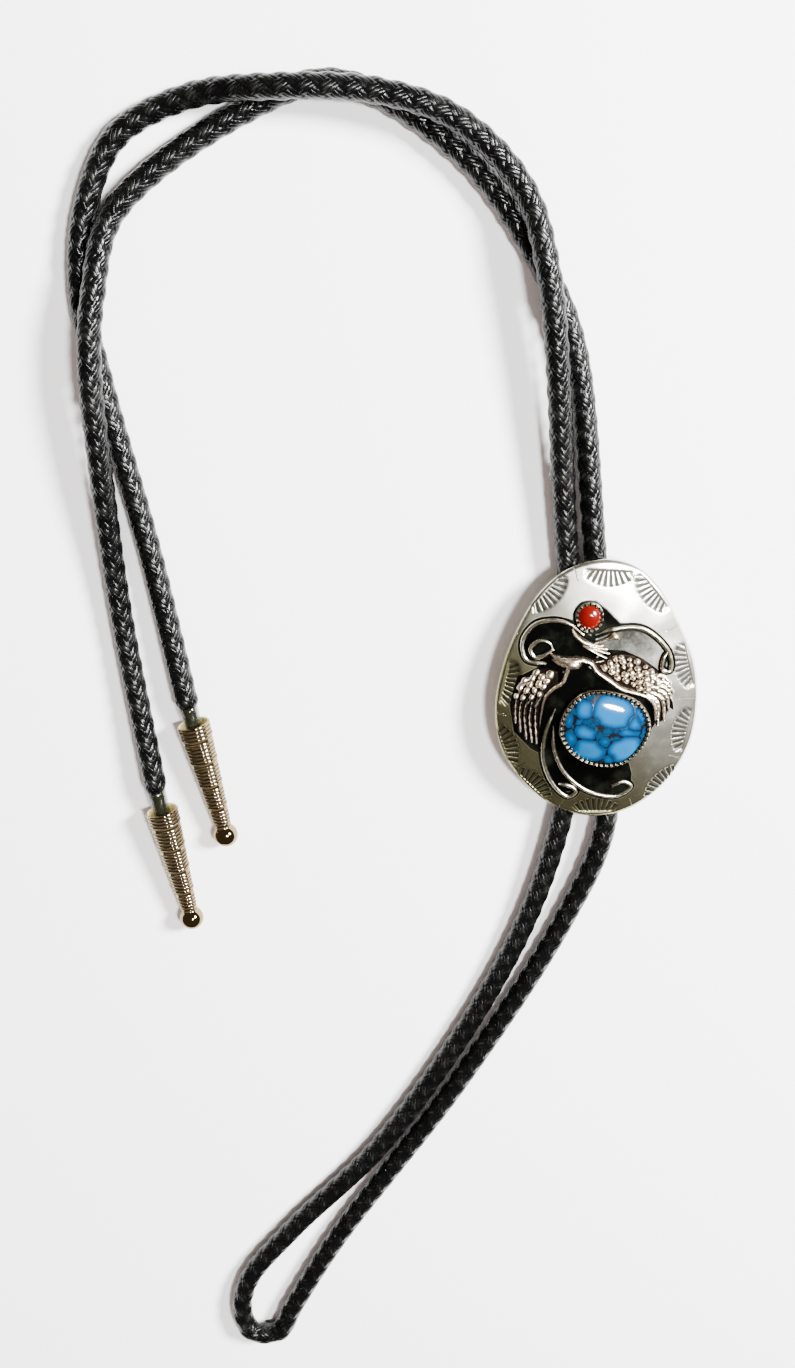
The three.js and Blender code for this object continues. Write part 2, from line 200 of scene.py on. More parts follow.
# ---------------------------------------------------------------- finishes
def braid_heights(graph, turn, along):
    """The braid's two families of laces at a place on the cord: each one's height, in lace heights,
    and its place across the lace. turn is 0 to 1 round the cord and along is in metres."""
    step = along / BRAID_CROSSING
    first = turn * BRAID_LACES - step
    second = turn * BRAID_LACES + step
    across_first = graph.maths("FRACT", first)
    across_second = graph.maths("FRACT", second)
    cell = graph.maths("FLOOR", first) + graph.maths("FLOOR", second)
    odd = graph.maths("PINGPONG", cell, 1.0)
    side = 1.0 - odd * 2.0
    bow_first = graph.maths("SINE", across_second * math.pi) * side
    bow_second = graph.maths("SINE", across_first * math.pi) * side * -1.0
    round_first = graph.maths("SINE", across_first * math.pi) ** 0.6
    round_second = graph.maths("SINE", across_second * math.pi) ** 0.6
    height_first = bow_first * LACE_BOW + round_first
    height_second = bow_second * LACE_BOW + round_second
    return height_first, height_second, across_first, across_second


def leather_finish():
    """Black braided leather, each lace cut in fine strips with a waxed shine."""
    finish = Finish("black_braided_leather", Specular_IOR_Level=0.2)
    g = finish.graph
    x, y, along = g.parts(g.attribute("braid_place", "Vector").socket)
    turn = g.maths("ARCTAN2", y, x) / (2 * math.pi) + 1.0
    first, second, across_first, across_second = braid_heights(g, turn, along)
    top_first = g.maths("GREATER_THAN", first, second)
    across = across_first * top_first + across_second * (1.0 - top_first)
    strips = g.maths("ABSOLUTE", g.maths("SINE", across * (3 * math.pi)))
    grain = finish.noise(2600.0, 4.0, 0.6)
    wear = finish.noise(180.0, 3.0, 0.5)
    edge = g.maths("MAXIMUM", first, second)
    worn = g.ramp(edge * 0.55 + wear * 0.5, 0.95, 1.25) * strips ** 3.0
    finish.drive("Base Color", g.mix(worn, rgb(0.0010, 0.0010, 0.0011), rgb(0.010, 0.010, 0.008)))
    finish.drive("Roughness", g.ramp(grain * 0.5 + wear * 0.5, 0.3, 0.7, 0.15, 0.32))
    finish.bump(strips ** 0.5 + grain * 0.3, 0.0001, 0.9)
    return finish.material


def sleeve_finish():
    """Clear plastic gone olive and a little cloudy."""
    finish = Finish("clear_sleeve", Roughness=0.12, Coat_Weight=0.3)
    g = finish.graph
    cloud = finish.noise(900.0, 3.0, 0.5)
    finish.drive("Base Color", g.mix(cloud, rgb(0.005, 0.006, 0.003), rgb(0.016, 0.017, 0.009)))
    finish.drive("Alpha", g.ramp(cloud, 0.3, 0.75, 0.32, 0.48))
    finish.bump(cloud, 0.0001, 0.5)
    return finish.material


def tip_finish():
    """Brass-coloured plating, with brown patina in the grooves between the ridges."""
    finish = Finish("plated_tip", Specular_IOR_Level=0.2)
    g = finish.graph
    haze = finish.noise(420.0, 4.0, 0.6)
    groove = g.attribute("groove")
    dirt = g.ramp(groove + haze * 0.4, 0.36, 0.8)
    finish.drive("Base Color", g.mix(dirt, rgb(0.24, 0.18, 0.09), rgb(0.012, 0.007, 0.003)))
    finish.drive("Metallic", 1.0 - dirt)
    finish.drive("Roughness", g.ramp(haze * 0.3 + dirt, 0.1, 1.2, 0.05, 0.6))
    finish.bump(haze, 0.00003, 0.6)
    return finish.material


def tip_bore_finish():
    """Dull raw brass inside a tip's mouth."""
    finish = Finish("tip_bore_brass", Metallic=0.6, Roughness=0.42)
    g = finish.graph
    cloud = finish.noise(700.0, 3.0, 0.5)
    finish.drive("Base Color", g.mix(cloud, rgb(0.62, 0.52, 0.22), rgb(0.85, 0.78, 0.50)))
    return finish.material


def plate_finish():
    """Hand-stamped silver: black in its oxidised fields and grooves; painted light makes it bright towards
    the upper right, and painted shade makes it olive towards the lower left and dark beside the wires and
    coral.
    """
    finish = Finish("stamped_silver", Metallic=1.0)
    g = finish.graph
    x, y, _ = g.parts(finish.where)
    stamp_x, stamp_y, _ = g.parts(g.attribute("stamp_place", "Vector").socket)
    reach = g.maths("SQRT", stamp_x * stamp_x + stamp_y * stamp_y)
    angle = g.maths("ARCTAN2", stamp_x, stamp_y)
    ridge = g.maths("COSINE", angle * (2 * math.pi / FAN_GROOVE_STEP))
    past_foot = g.ramp(stamp_y, FAN_FOOT, FAN_FOOT + 0.3)
    in_reach = g.ramp(reach, FAN_REACH - 0.35, FAN_REACH, 1.0, 0.0)
    beside = g.maths("ABSOLUTE", angle)
    in_spread = g.ramp(beside, FAN_HALF_ANGLE - 0.03, FAN_HALF_ANGLE + 0.03, 1.0, 0.0)
    groove = g.ramp(ridge, -0.15, 0.6, 1.0, 0.0) * past_foot * in_reach * in_spread
    oxide_and_shade = g.attribute("oxide_and_shade")
    scuff = finish.noise(520.0, 6.0, 0.65)
    cloud = finish.noise(110.0, 4.0, 0.6)
    dark = g.ramp(oxide_and_shade + (cloud - 0.5) * 0.35 + (scuff - 0.5) * 0.15, 0.25, 0.75)
    dark = g.maths("MAXIMUM", dark, groove * 0.95)
    # painted light and shade: clean bright silver towards the upper right, where the light falls, and olive
    # towards the lower left
    shade_to_lower_left = g.ramp((x * 0.8 + y * 0.6) / MM - cloud * 10.0, -18.0, 7.0, 1.0, 0.0)
    lit_silver = g.mix(cloud, rgb(0.66, 0.64, 0.54), rgb(0.84, 0.83, 0.76))
    olive = g.mix(cloud, rgb(0.18, 0.17, 0.08), rgb(0.38, 0.36, 0.22))
    black = g.mix(g.ramp(cloud, 0.5, 0.72), rgb(0.0012, 0.0012, 0.001), rgb(0.009, 0.010, 0.007))
    finish.drive("Base Color", g.mix(dark, g.mix(shade_to_lower_left, lit_silver, olive), black))
    finish.drive("Roughness", g.ramp(scuff * 0.6 + dark * 0.8, 0.2, 1.3, 0.24, 0.58))
    scratches = finish.noise(2400.0, 2.0, 0.5)
    finish.bump(groove * -1.0 + scratches * 0.02 + cloud * 0.12, 0.00016, 1.0)
    return finish.material


def cast_finish(name, light, dark, shine):
    """Cast or drawn metal, black in its oxidised hollows and bright on its crests; the same mask carries
    painted shade on the wires' sides and on the cups' walls and between their teeth.
    """
    finish = Finish(name, Metallic=1.0)
    g = finish.graph
    blackening_and_shade = g.attribute("blackening_and_shade")
    mottle = finish.noise(900.0, 4.0, 0.6)
    black = g.ramp(blackening_and_shade + (mottle - 0.5) * 0.3, 0.3, 0.75)
    finish.drive("Base Color", g.mix(black, light, dark))
    finish.drive("Roughness", g.ramp(mottle + black * 0.5, 0.3, 1.2, shine, 0.5))
    finish.bump(mottle, 0.00004, 0.7)
    return finish.material


def turquoise_finish():
    """Blocks of bright blue stone set in black, with small greener chips between the big ones; painted
    shade darkens each block towards its edges.
    """
    finish = Finish("turquoise", Coat_Weight=0.6, Coat_Roughness=0.03, Specular_IOR_Level=0.6)
    g = finish.graph
    gap = g.attribute("nugget_gap")
    green = g.attribute("nugget_green")
    wobble = finish.noise(900.0, 3.0, 0.5)
    tone = finish.noise(240.0, 3.0, 0.55)
    inside = g.ramp(gap + (wobble - 0.5) * 0.16, -0.05, 0.06, 1.0, 0.0)
    settings = {"feature": "DISTANCE_TO_EDGE"}
    cells = g.node("ShaderNodeTexVoronoi", settings, {"Vector": finish.where, "Scale": 900.0})
    chips = g.ramp(g.out(cells, "Distance"), 0.06, 0.12) * g.ramp(wobble, 0.5, 0.56)
    blue = g.mix(tone, rgb(0.0, 0.058, 0.160), rgb(0.0, 0.088, 0.222))
    teal = g.mix(tone, rgb(0.0, 0.012, 0.02), rgb(0.0, 0.06, 0.10))
    block = g.mix(green, blue, teal)
    # painted shade: each block darker towards its edges, so that it looks domed
    block = g.mix(g.ramp(gap + (tone - 0.5) * 0.8, -1.3, 0.1, 0.0, 0.9), block, rgb(0.0, 0.012, 0.045))
    matrix = g.mix(chips, rgb(0.0005, 0.001, 0.003), rgb(0.001, 0.02, 0.035))
    finish.drive("Base Color", g.mix(inside, matrix, block))
    finish.drive("Roughness", g.ramp(inside, 0.0, 1.0, 0.22, 0.07))
    finish.bump(inside, 0.00002, 0.5)
    return finish.material


def coral_finish():
    """Deep red coral, a little uneven in tone and polish."""
    finish = Finish("coral", Coat_Weight=0.5, Coat_Roughness=0.04)
    g = finish.graph
    tone = finish.noise(520.0, 4.0, 0.6)
    finish.drive("Base Color", g.mix(tone, rgb(0.06, 0.0006, 0.0004), rgb(0.105, 0.0012, 0.0006)))
    finish.drive("Roughness", g.ramp(tone, 0.3, 0.7, 0.07, 0.2))
    return finish.material


def clip_finish():
    """Plain sheet metal with a fine uneven grain."""
    finish = Finish("clip_sheet_metal", Metallic=1.0)
    g = finish.graph
    grain = finish.noise(600.0, 5.0, 0.6)
    finish.drive("Base Color", g.mix(grain, rgb(0.42, 0.41, 0.39), rgb(0.62, 0.61, 0.58)))
    finish.drive("Roughness", g.ramp(grain, 0.3, 0.7, 0.28, 0.5))
    finish.bump(grain, 0.00003, 0.6)
    return finish.material


# ---------------------------------------------------------------- meshes
def add_piece(obj, slot, *nodes):
    """Fixes a finished object to the tie in place of the nodes it stands for; slot is not used."""
    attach(obj, "root")
    if nodes:
        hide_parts(*nodes)
    return obj


def mesh_piece(name, verts, faces, material, attributes=None, smooth=True):
    mesh = bpy.data.meshes.new(name)
    mesh.from_pydata(np.asarray(verts).tolist(), [], [tuple(f) for f in faces])
    mesh.materials.append(material)
    for label, values in (attributes or {}).items():
        values = np.asarray(values, np.float32)
        kind = "FLOAT_VECTOR" if values.ndim == 2 else "FLOAT"
        store = mesh.attributes.new(label, kind, "POINT")
        store.data.foreach_set("vector" if values.ndim == 2 else "value", values.ravel())
    mesh.polygons.foreach_set("use_smooth", [smooth] * len(mesh.polygons))
    mesh.validate()
    obj = bpy.data.objects.new(name, mesh)
    bpy.context.scene.collection.objects.link(obj)
    return obj


def band_faces(rows, count, loop=False):
    """Quads between rows of count points each, round a closed ring."""
    i = np.arange(count)
    nxt = (i + 1) % count
    faces = []
    for row in range(rows if loop else rows - 1):
        low = row * count
        high = ((row + 1) % rows) * count
        faces.append(np.stack([low + i, low + nxt, high + nxt, high + i], 1))
    return np.concatenate(faces)


def fan_faces(hub, first, count, flip=False):
    """Triangles between a hub and the closed ring of count points that starts at first."""
    faces = [(hub, first + i, first + (i + 1) % count) for i in range(count)]
    return [face[::-1] for face in faces] if flip else faces


def smooth_line(points, per_span, closed=False):
    """A centripetal Catmull-Rom line through points, with per_span places in each span."""
    p = np.asarray(points, float)
    if closed:
        p = np.concatenate([p[-1:], p, p[:2]])
    else:
        p = np.concatenate([[2 * p[0] - p[1]], p, [2 * p[-1] - p[-2]]])
    t = np.linspace(0, 1, per_span, endpoint=False)[:, None]
    spans = []
    for a, b, c, d in zip(p[:-3], p[1:-2], p[2:-1], p[3:]):
        ab, bc, cd = (np.linalg.norm(q - r) ** 0.5 for q, r in ((b, a), (c, b), (d, c)))
        leave = ((b - a) / ab - (c - a) / (ab + bc) + (c - b) / bc) * bc
        reach = ((c - b) / bc - (d - b) / (bc + cd) + (d - c) / cd) * bc
        cubic = 2 * b - 2 * c + leave + reach
        square = -3 * b + 3 * c - 2 * leave - reach
        spans.append(b + leave * t + square * t**2 + cubic * t**3)
    line = np.concatenate(spans)
    return line if closed else np.concatenate([line, p[-2:-1]])


def run_along(line):
    """How far along a line each of its places is."""
    return np.r_[0, np.cumsum(np.linalg.norm(np.diff(line, axis=0), axis=1))]


def at_places(places, run, line):
    """The line's points at places along it, where run is how far along each of its own points is."""
    return np.stack([np.interp(places, run, values) for values in line.T], 1)


def even_line(line, step):
    """The same line with its places step apart."""
    run = run_along(line)
    places = np.linspace(0, run[-1], int(round(run[-1] / step)) + 1)
    return at_places(places, run, line)


def closed_ring(outline, count):
    """count places spaced evenly round a closed outline."""
    line = even_line(np.concatenate([outline, outline[:1]]), 0.05 * MM)
    places = np.linspace(0, len(line) - 1, count, endpoint=False)
    return at_places(places, np.arange(len(line)), line)


def smooth_step(value, low, high):
    """0 below low, 1 above high and smooth between them."""
    t = np.clip((value - low) / (high - low), 0, 1)
    return t * t * (3 - 2 * t)


# ---------------------------------------------------------------- camera
def add_camera():
    """A camera above the tie that leans a little along it."""
    data = bpy.data.cameras.new("camera")
    data.lens = CAMERA_LENS
    data.sensor_width = 36.0
    data.clip_start = 0.01
    camera = bpy.data.objects.new("camera", data)
    camera.location = CAMERA_AT
    camera.rotation_euler = (-CAMERA_TILT, 0, 0)
    bpy.context.scene.collection.objects.link(camera)
    bpy.context.scene.camera = camera


# ---------------------------------------------------------------- cord
def start_tree(name, sizes):
    """A Geometry Nodes tree that takes a line and named sizes: its graph, its line and its sizes."""
    tree = bpy.data.node_groups.new(name, "GeometryNodeTree")
    face = tree.interface
    face.new_socket("Geometry", in_out="OUTPUT", socket_type="NodeSocketGeometry")
    face.new_socket("Line", in_out="INPUT", socket_type="NodeSocketGeometry")
    for label in sizes:
        face.new_socket(label, in_out="INPUT", socket_type="NodeSocketFloat")
    g = Graph(tree)
    entry = g.node("NodeGroupInput")
    return g, entry.outputs["Line"], [g.out(entry, label) for label in sizes]


def end_tree(g, shape, material):
    """Ends a tree with its shape as plain faces in a material."""
    smooth = g.node("GeometryNodeSetShadeSmooth", None, {"Geometry": shape})
    whole = g.node("GeometryNodeRealizeInstances", None, {"Geometry": smooth.outputs[0]})
    painted = g.node("GeometryNodeSetMaterial", None, {"Geometry": whole.outputs[0], "Material": material})
    leave = g.node("NodeGroupOutput")
    g.feed(leave.inputs[0], painted.outputs[0])
    return g.tree


def cord_tree(material):
    """A tree that turns the cord's middle line into a round braid."""
    g, line, (radius, lace, rounding) = start_tree("round_braid", CORD_SIZES)
    spline = g.node("GeometryNodeSplineParameter")
    run = g.out(spline, "Length")
    left = g.out(g.node("GeometryNodeSplineLength"), "Length") - run
    line = g.store(line, "along", run)
    line = g.store(line, "from_end", g.maths("MINIMUM", run, left))
    ring = g.node("GeometryNodeCurvePrimitiveCircle", None, {"Resolution": CORD_SIDES, "Radius": radius})
    ring = g.store(ring.outputs[0], "around", g.out(spline, "Factor"))
    parts = {"Curve": line, "Profile Curve": ring, "Fill Caps": True}
    tube = g.node("GeometryNodeCurveToMesh", None, parts)
    along = g.named("along")
    turn = g.named("around")
    first, second, _, _ = braid_heights(g, turn + 1.0, along)
    height = (g.maths("MAXIMUM", first, second) - MEAN_LACE_HEIGHT) * lace
    inward = 1.0 - g.maths("MINIMUM", g.named("from_end") / rounding, 1.0)
    shrink = (1.0 - g.maths("SQRT", 1.0 - inward * inward * 0.8)) * radius
    normal = g.node("GeometryNodeInputNormal")
    reach = {0: normal.outputs[0], "Scale": height - shrink}
    push = g.node("ShaderNodeVectorMath", {"operation": "SCALE"}, reach)
    parts = {"Geometry": tube.outputs[0], "Offset": push.outputs[0]}
    moved = g.node("GeometryNodeSetPosition", None, parts)
    angle = turn * (2 * math.pi)
    parts = {"X": g.maths("COSINE", angle), "Y": g.maths("SINE", angle), "Z": along}
    place = g.node("ShaderNodeCombineXYZ", None, parts)
    shape = g.store(moved.outputs[0], "braid_place", place.outputs[0], "FLOAT_VECTOR")
    return end_tree(g, shape, material)


def grown_mesh(name, obj, tree, sizes):
    """obj's shape after a Geometry Nodes tree with its sizes set, as a plain mesh object."""
    modifier = obj.modifiers.new(name, "NODES")
    modifier.node_group = tree
    for item in tree.interface.items_tree:
        if item.name in sizes:
            modifier[item.identifier] = sizes[item.name]
    graph = bpy.context.evaluated_depsgraph_get()
    shape = obj.evaluated_get(graph)
    mesh = bpy.data.meshes.new_from_object(shape, preserve_all_data_layers=True, depsgraph=graph)
    obj.modifiers.remove(modifier)
    bpy.data.objects.remove(obj)
    made = bpy.data.objects.new(name, mesh)
    mesh.name = name
    bpy.context.scene.collection.objects.link(made)
    return made


def line_object(name, line):
    """A curve object of straight steps through a line's places."""
    curve = bpy.data.curves.new(name, "CURVE")
    curve.dimensions = "3D"
    spline = curve.splines.new("POLY")
    spline.points.add(len(line) - 1)
    spline.points.foreach_set("co", np.c_[line, np.ones(len(line))].ravel())
    obj = bpy.data.objects.new(name, curve)
    bpy.context.scene.collection.objects.link(obj)
    return obj


def add_cord(material):
    """The braided cord, its middle line and its length."""
    route = smooth_line(np.array(CORD_ROUTE) * MM, 60)
    line = even_line(route, 0.32 * MM)
    cord = grown_mesh("braided_cord", line_object("cord_line", line), cord_tree(material), CORD_SIZES)
    add_piece(cord, "cord_leather", "cord")
    return cord, line, run_along(route)[-1]


# ---------------------------------------------------------------- tips and sleeves
TIP_MOUTH_RADIUS = 3.62 * MM
TIP_TAPER = 0.073
TIP_BALL_RADIUS = 2.7 * MM
TIP_BALL_AT = 27.5 * MM
TIP_BALL_FROM = math.radians(142)  # where the ball leaves the neck, from the tip's end
TIP_RING_FIRST = 2.9 * MM
TIP_RING_PITCH = 5.65 * MM
TIP_NECK_AT = 25.2 * MM
TIP_RING_HEIGHT = 0.24 * MM
TIP_RING_HALF_WIDTH = 0.36 * MM
TIP_RINGS_END = 3.5  # no ring past this many pitches
TIP_RIDGE_HEIGHT = 0.26 * MM
TIP_RIDGE_PITCH = 0.87 * MM
TIP_RIDGES_FROM = 0.38 * MM  # before each ring
TIP_RIDGES_TO = 4.3 * MM
TIP_SIDES = 64
SLEEVE_SIDES = 40
TIP_BORE = [(0.0, 12.0), (2.2, 12.0), (3.2, 0.25), (3.28, 0.02)]  # radius and depth, in millimetres
TIP_LIP = [(3.4, -0.04), (3.52, 0.0)]
TIP_BALLS = [(1, CORD_ROUTE[-1], (-89.4, -56.1)), (2, CORD_ROUTE[0], (-80.9, -35.5))]


def along_tip(points, start, heading):
    """Points made along +Z from the origin, turned to run from start along heading."""
    turn = Vector((0, 0, 1)).rotation_difference(heading).to_matrix()
    return np.asarray(points) @ np.array(turn).T + np.array(start)


def turned_rings(profile, count):
    """Rings of points round +Z for a profile of (radius, distance along)."""
    angle = np.arange(count) * 2 * math.pi / count
    circle = np.c_[np.cos(angle), np.sin(angle)]
    return np.concatenate([np.c_[radius * circle, np.full(count, at)] for radius, at in profile])


def lathe(profile, count):
    """A turned solid's points and faces, for a profile that starts and ends on the axis."""
    rings = turned_rings(profile[1:-1], count)
    hub = len(rings)
    ends = [[0, 0, profile[0][1]], [0, 0, profile[-1][1]]]
    faces = fan_faces(hub, 0, count, flip=True) + band_faces(len(profile) - 2, count).tolist()
    faces += fan_faces(hub + 1, hub - count, count)
    return np.concatenate([rings, ends]), faces


def tip_radius(at):
    """The tip's outside, with a raised ring every pitch and fine ridges before each of them."""
    radius = TIP_MOUTH_RADIUS - TIP_TAPER * at
    into = (at - TIP_RING_FIRST) / TIP_RING_PITCH
    since = (into - math.floor(into)) * TIP_RING_PITCH
    to_next = TIP_RING_PITCH - since
    if into <= TIP_RINGS_END:
        radius += TIP_RING_HEIGHT * max(0.0, 1 - (min(since, to_next) / TIP_RING_HALF_WIDTH) ** 2)
    if TIP_RIDGES_FROM < to_next < TIP_RIDGES_TO and at < TIP_NECK_AT - 0.6 * MM:
        wave = abs(math.sin(math.pi * (to_next - TIP_RIDGES_FROM) / TIP_RIDGE_PITCH))
        radius += TIP_RIDGE_HEIGHT * (wave - 0.55)
    return radius


def add_tip(number, cord_end, ball, finish, bore_finish):
    """A tip, where its cord ends, its mouth and the way it points."""
    end = Vector(cord_end) * MM
    ball_centre = Vector((ball[0] * MM, ball[1] * MM, TIP_BALL_RADIUS))
    heading = (ball_centre - end).normalized()
    mouth = ball_centre - heading * TIP_BALL_AT
    shank = np.arange(TIP_RIDGE_PITCH / 10, TIP_NECK_AT, TIP_RIDGE_PITCH / 10)
    profile = [(radius * MM, at * MM) for radius, at in TIP_BORE + TIP_LIP]
    profile += [(tip_radius(at), at) for at in shank]
    for angle in np.linspace(TIP_BALL_FROM, 0.0, 28):
        profile.append((TIP_BALL_RADIUS * math.sin(angle), TIP_BALL_AT + TIP_BALL_RADIUS * math.cos(angle)))
    points, faces = lathe(profile, TIP_SIDES)
    radii = np.array([radius for radius, _ in profile])
    smoothed = np.convolve(np.pad(radii, 5, "edge"), np.ones(11) / 11, "valid")
    groove = np.clip((smoothed - radii) / (0.09 * MM), 0, 1)
    before_shank = len(TIP_BORE + TIP_LIP)
    groove[:before_shank] = 0
    groove[before_shank + len(shank) :] = 0
    attributes = {"groove": np.r_[np.repeat(groove[1:-1], TIP_SIDES), 0, 0]}
    points = along_tip(points, mouth, heading)
    tip = mesh_piece(f"cord_tip_shell_{number}", points, faces, finish, attributes)
    tip.data.materials.append(bore_finish)
    inner = np.zeros(len(tip.data.polygons), int)
    inner[: (len(TIP_BORE) - 1) * TIP_SIDES] = 1
    tip.data.polygons.foreach_set("material_index", inner)
    add_piece(tip, "tip_metal", f"cord_tip_{number}")
    return tip, end, mouth, heading


def add_sleeve(number, end, mouth, heading, clear, dark):
    """The clear sleeve from the cord's end into the tip, and the dark core inside it."""
    shown = (mouth - end).length
    wide = 2.05 * MM
    narrow = 1.8 * MM
    start = -0.9 * MM
    rows = [(wide * 0.94, start), (wide, start + 0.2 * MM), (wide * 1.02, 0.6 * MM), (narrow * 1.03, shown)]
    rows += [(narrow, shown + 6.5 * MM), (narrow * 0.8, shown + 6.5 * MM), (narrow * 0.84, shown)]
    rows += [(wide * 0.85, 0.6 * MM), (wide * 0.84, start + 0.2 * MM)]
    wall = along_tip(turned_rings(rows, SLEEVE_SIDES), end, heading)
    faces = band_faces(len(rows), SLEEVE_SIDES, loop=True)
    tube = mesh_piece(f"cord_sleeve_tube_{number}", wall, faces, clear)
    add_piece(tube, "clear_sleeve", f"cord_sleeve_{number}")
    core_end = shown + 6.0 * MM
    core = [(0.0, start), (1.35 * MM, start), (1.2 * MM, shown), (1.1 * MM, core_end), (0.0, core_end)]
    points, faces = lathe(core, SLEEVE_SIDES)
    inner = mesh_piece(f"cord_heart_{number}", along_tip(points, end, heading), faces, dark)
    add_piece(inner, "cord_leather")
    return [tube, inner]


# ---------------------------------------------------------------- slide plate
PLATE_EDGE = [
    (0.5, 28.9), (-6.3, 27.2), (-12.3, 22.3), (-16.9, 14.6), (-20.3, 5.0), (-21.6, -4.5), (-19.9, -13.4),
    (-15.0, -21.0), (-7.6, -26.9), (0.5, -28.9), (8.4, -27.0), (15.5, -21.2), (20.2, -12.9), (21.6, -4.0),
    (20.6, 6.0), (16.9, 14.8), (11.6, 23.5), (6.6, 27.6),
]
TURQUOISE_EDGE = [
    (9.6, 0.8), (7.4, 5.7), (1.9, 8.3), (-4.0, 8.5), (-7.9, 5.5), (-9.65, -0.5), (-7.0, -5.5), (-1.8, -8.2),
    (4.1, -7.9), (8.2, -3.9),
]
plate_edge = even_line(smooth_line(np.array(PLATE_EDGE) * MM, 60, closed=True), 0.1 * MM)
edge_angle = np.arctan2(plate_edge[:, 1], plate_edge[:, 0])
edge_radius = np.hypot(plate_edge[:, 0], plate_edge[:, 1])


def edge_share(x, y):
    """How far out a place on the plate is: 0 at its middle, 1 at its edge."""
    return np.hypot(x, y) / np.interp(np.arctan2(y, x), edge_angle, edge_radius, period=2 * math.pi)


def plate_top(x, y):
    """The height of the plate's top at a place on it."""
    return RIM_TOP + DOME_RISE * (1 - edge_share(x, y) ** 2)


# Fans of grooves stamped round the rim: middle of each one, in millimetres.
STAMPS = [
    (-10.3, 21.1), (1.3, 24.9), (9.9, 21.2), (17.6, 5.6), (18.0, -8.4), (14.4, -20.4), (0.8, -26.0),
    (-12.3, -20.6), (-18.2, -11.9), (-18.1, 1.9),
]
FAN_CENTRE_OUT = 6.4  # from a stamp's middle out to where its grooves would meet, in millimetres
FAN_FOOT = 4.8  # the grooves' straight outer ends, from where they would meet
FAN_REACH = 8.2  # the grooves' inner ends
FAN_HALF_ANGLE = math.radians(40)
FAN_GROOVE_STEP = math.radians(9.5)
STAMP_DEPTH = 0.14 * MM
EDGE_DROP = 0.45 * MM  # how far the plate's edge is rounded down


def stamp_places(x, y):
    """Each place in its nearest stamp, in millimetres from where the grooves would meet: along the rim,
    and inwards."""
    best = np.full(x.shape, 1e9)
    place = np.zeros(x.shape + (3,))
    for cx, cy in np.array(STAMPS) * MM:
        k = np.argmin(np.hypot(plate_edge[:, 0] - cx, plate_edge[:, 1] - cy))
        tangent = plate_edge[(k + 30) % len(plate_edge)] - plate_edge[k - 30]
        tangent = tangent / np.linalg.norm(tangent)
        inward = np.array([-tangent[1], tangent[0]])
        if inward @ plate_edge[k] > 0:
            inward = -inward
        along = ((x - cx) * tangent[0] + (y - cy) * tangent[1]) / MM
        inner = ((x - cx) * inward[0] + (y - cy) * inward[1]) / MM
        distance = np.hypot(along, inner)
        nearer = distance < best
        best[nearer] = distance[nearer]
        place[nearer, 0] = along[nearer]
        place[nearer, 1] = inner[nearer] + FAN_CENTRE_OUT
    return place


def line_distance(x, y, line):
    """Distance from each place to the nearest part of a line."""
    nearest = np.full(x.shape, 1e9)
    for a, b in zip(line[:-1], line[1:]):
        edge = b - a
        along = np.clip(((x - a[0]) * edge[0] + (y - a[1]) * edge[1]) / (edge @ edge), 0, 1)
        nearest = np.minimum(nearest, np.hypot(x - a[0] - along * edge[0], y - a[1] - along * edge[1]))
    return nearest


def polygon_depth(x, y, corners):
    """Distance inside a closed polygon, negative outside, in the units of its corners."""
    outline = np.array([*corners, corners[0]], float)
    nearest = line_distance(x, y, outline)
    inside = np.zeros(x.shape, bool)
    for a, b in zip(outline[:-1], outline[1:]):
        if a[1] != b[1]:
            crosses = (a[1] > y) != (b[1] > y)
            inside ^= crosses & (x < a[0] + (y - a[1]) / (b[1] - a[1]) * (b[0] - a[0]))
    return np.where(inside, nearest, -nearest)


# Middle lines of the scroll wires on the plate, in millimetres.
WIRES = {
    "left_scroll": [
        (-3.2, 12.4), (-5.4, 14.4), (-9.4, 15.5), (-13.5, 14.4), (-15.9, 10.6), (-14.9, 6.8), (-10.8, 6.1),
    ],
    "left_curl": [
        (-9.4, 9.0), (-10.3, 10.6), (-12.4, 11.0), (-14.2, 9.3), (-13.2, 7.4), (-11.3, 7.9), (-9.6, 9.2),
    ],
    "right_scroll": [
        (-0.7, 12.5), (3.2, 13.8), (8.6, 13.9), (12.4, 11.6), (15.2, 7.9), (15.4, 4.4), (13.8, 4.7),
        (14.1, 7.6), (15.0, 8.6),
    ],
    "left_stem": [
        (-8.6, -3.8), (-10.6, -9.8), (-10.8, -15.5), (-8.6, -21.3), (-5.1, -24.5), (-3.5, -23.2),
        (-5.0, -21.8), (-7.3, -21.4),
    ],
    "right_stem": [
        (-8.9, -7.8), (-8.5, -13.4), (-5.9, -19.0), (-0.6, -23.2), (5.6, -24.2), (8.4, -22.0), (6.6, -20.8),
        (4.3, -21.9),
    ],
}
WIRE_RADIUS = 0.46 * MM
WIRE_SIZES = {
    "Radius": WIRE_RADIUS,
    "Point length": 4.5 * MM,
    "Point share": 0.35,
    "End length": 2.0 * MM,
    "End share": 0.7,
}

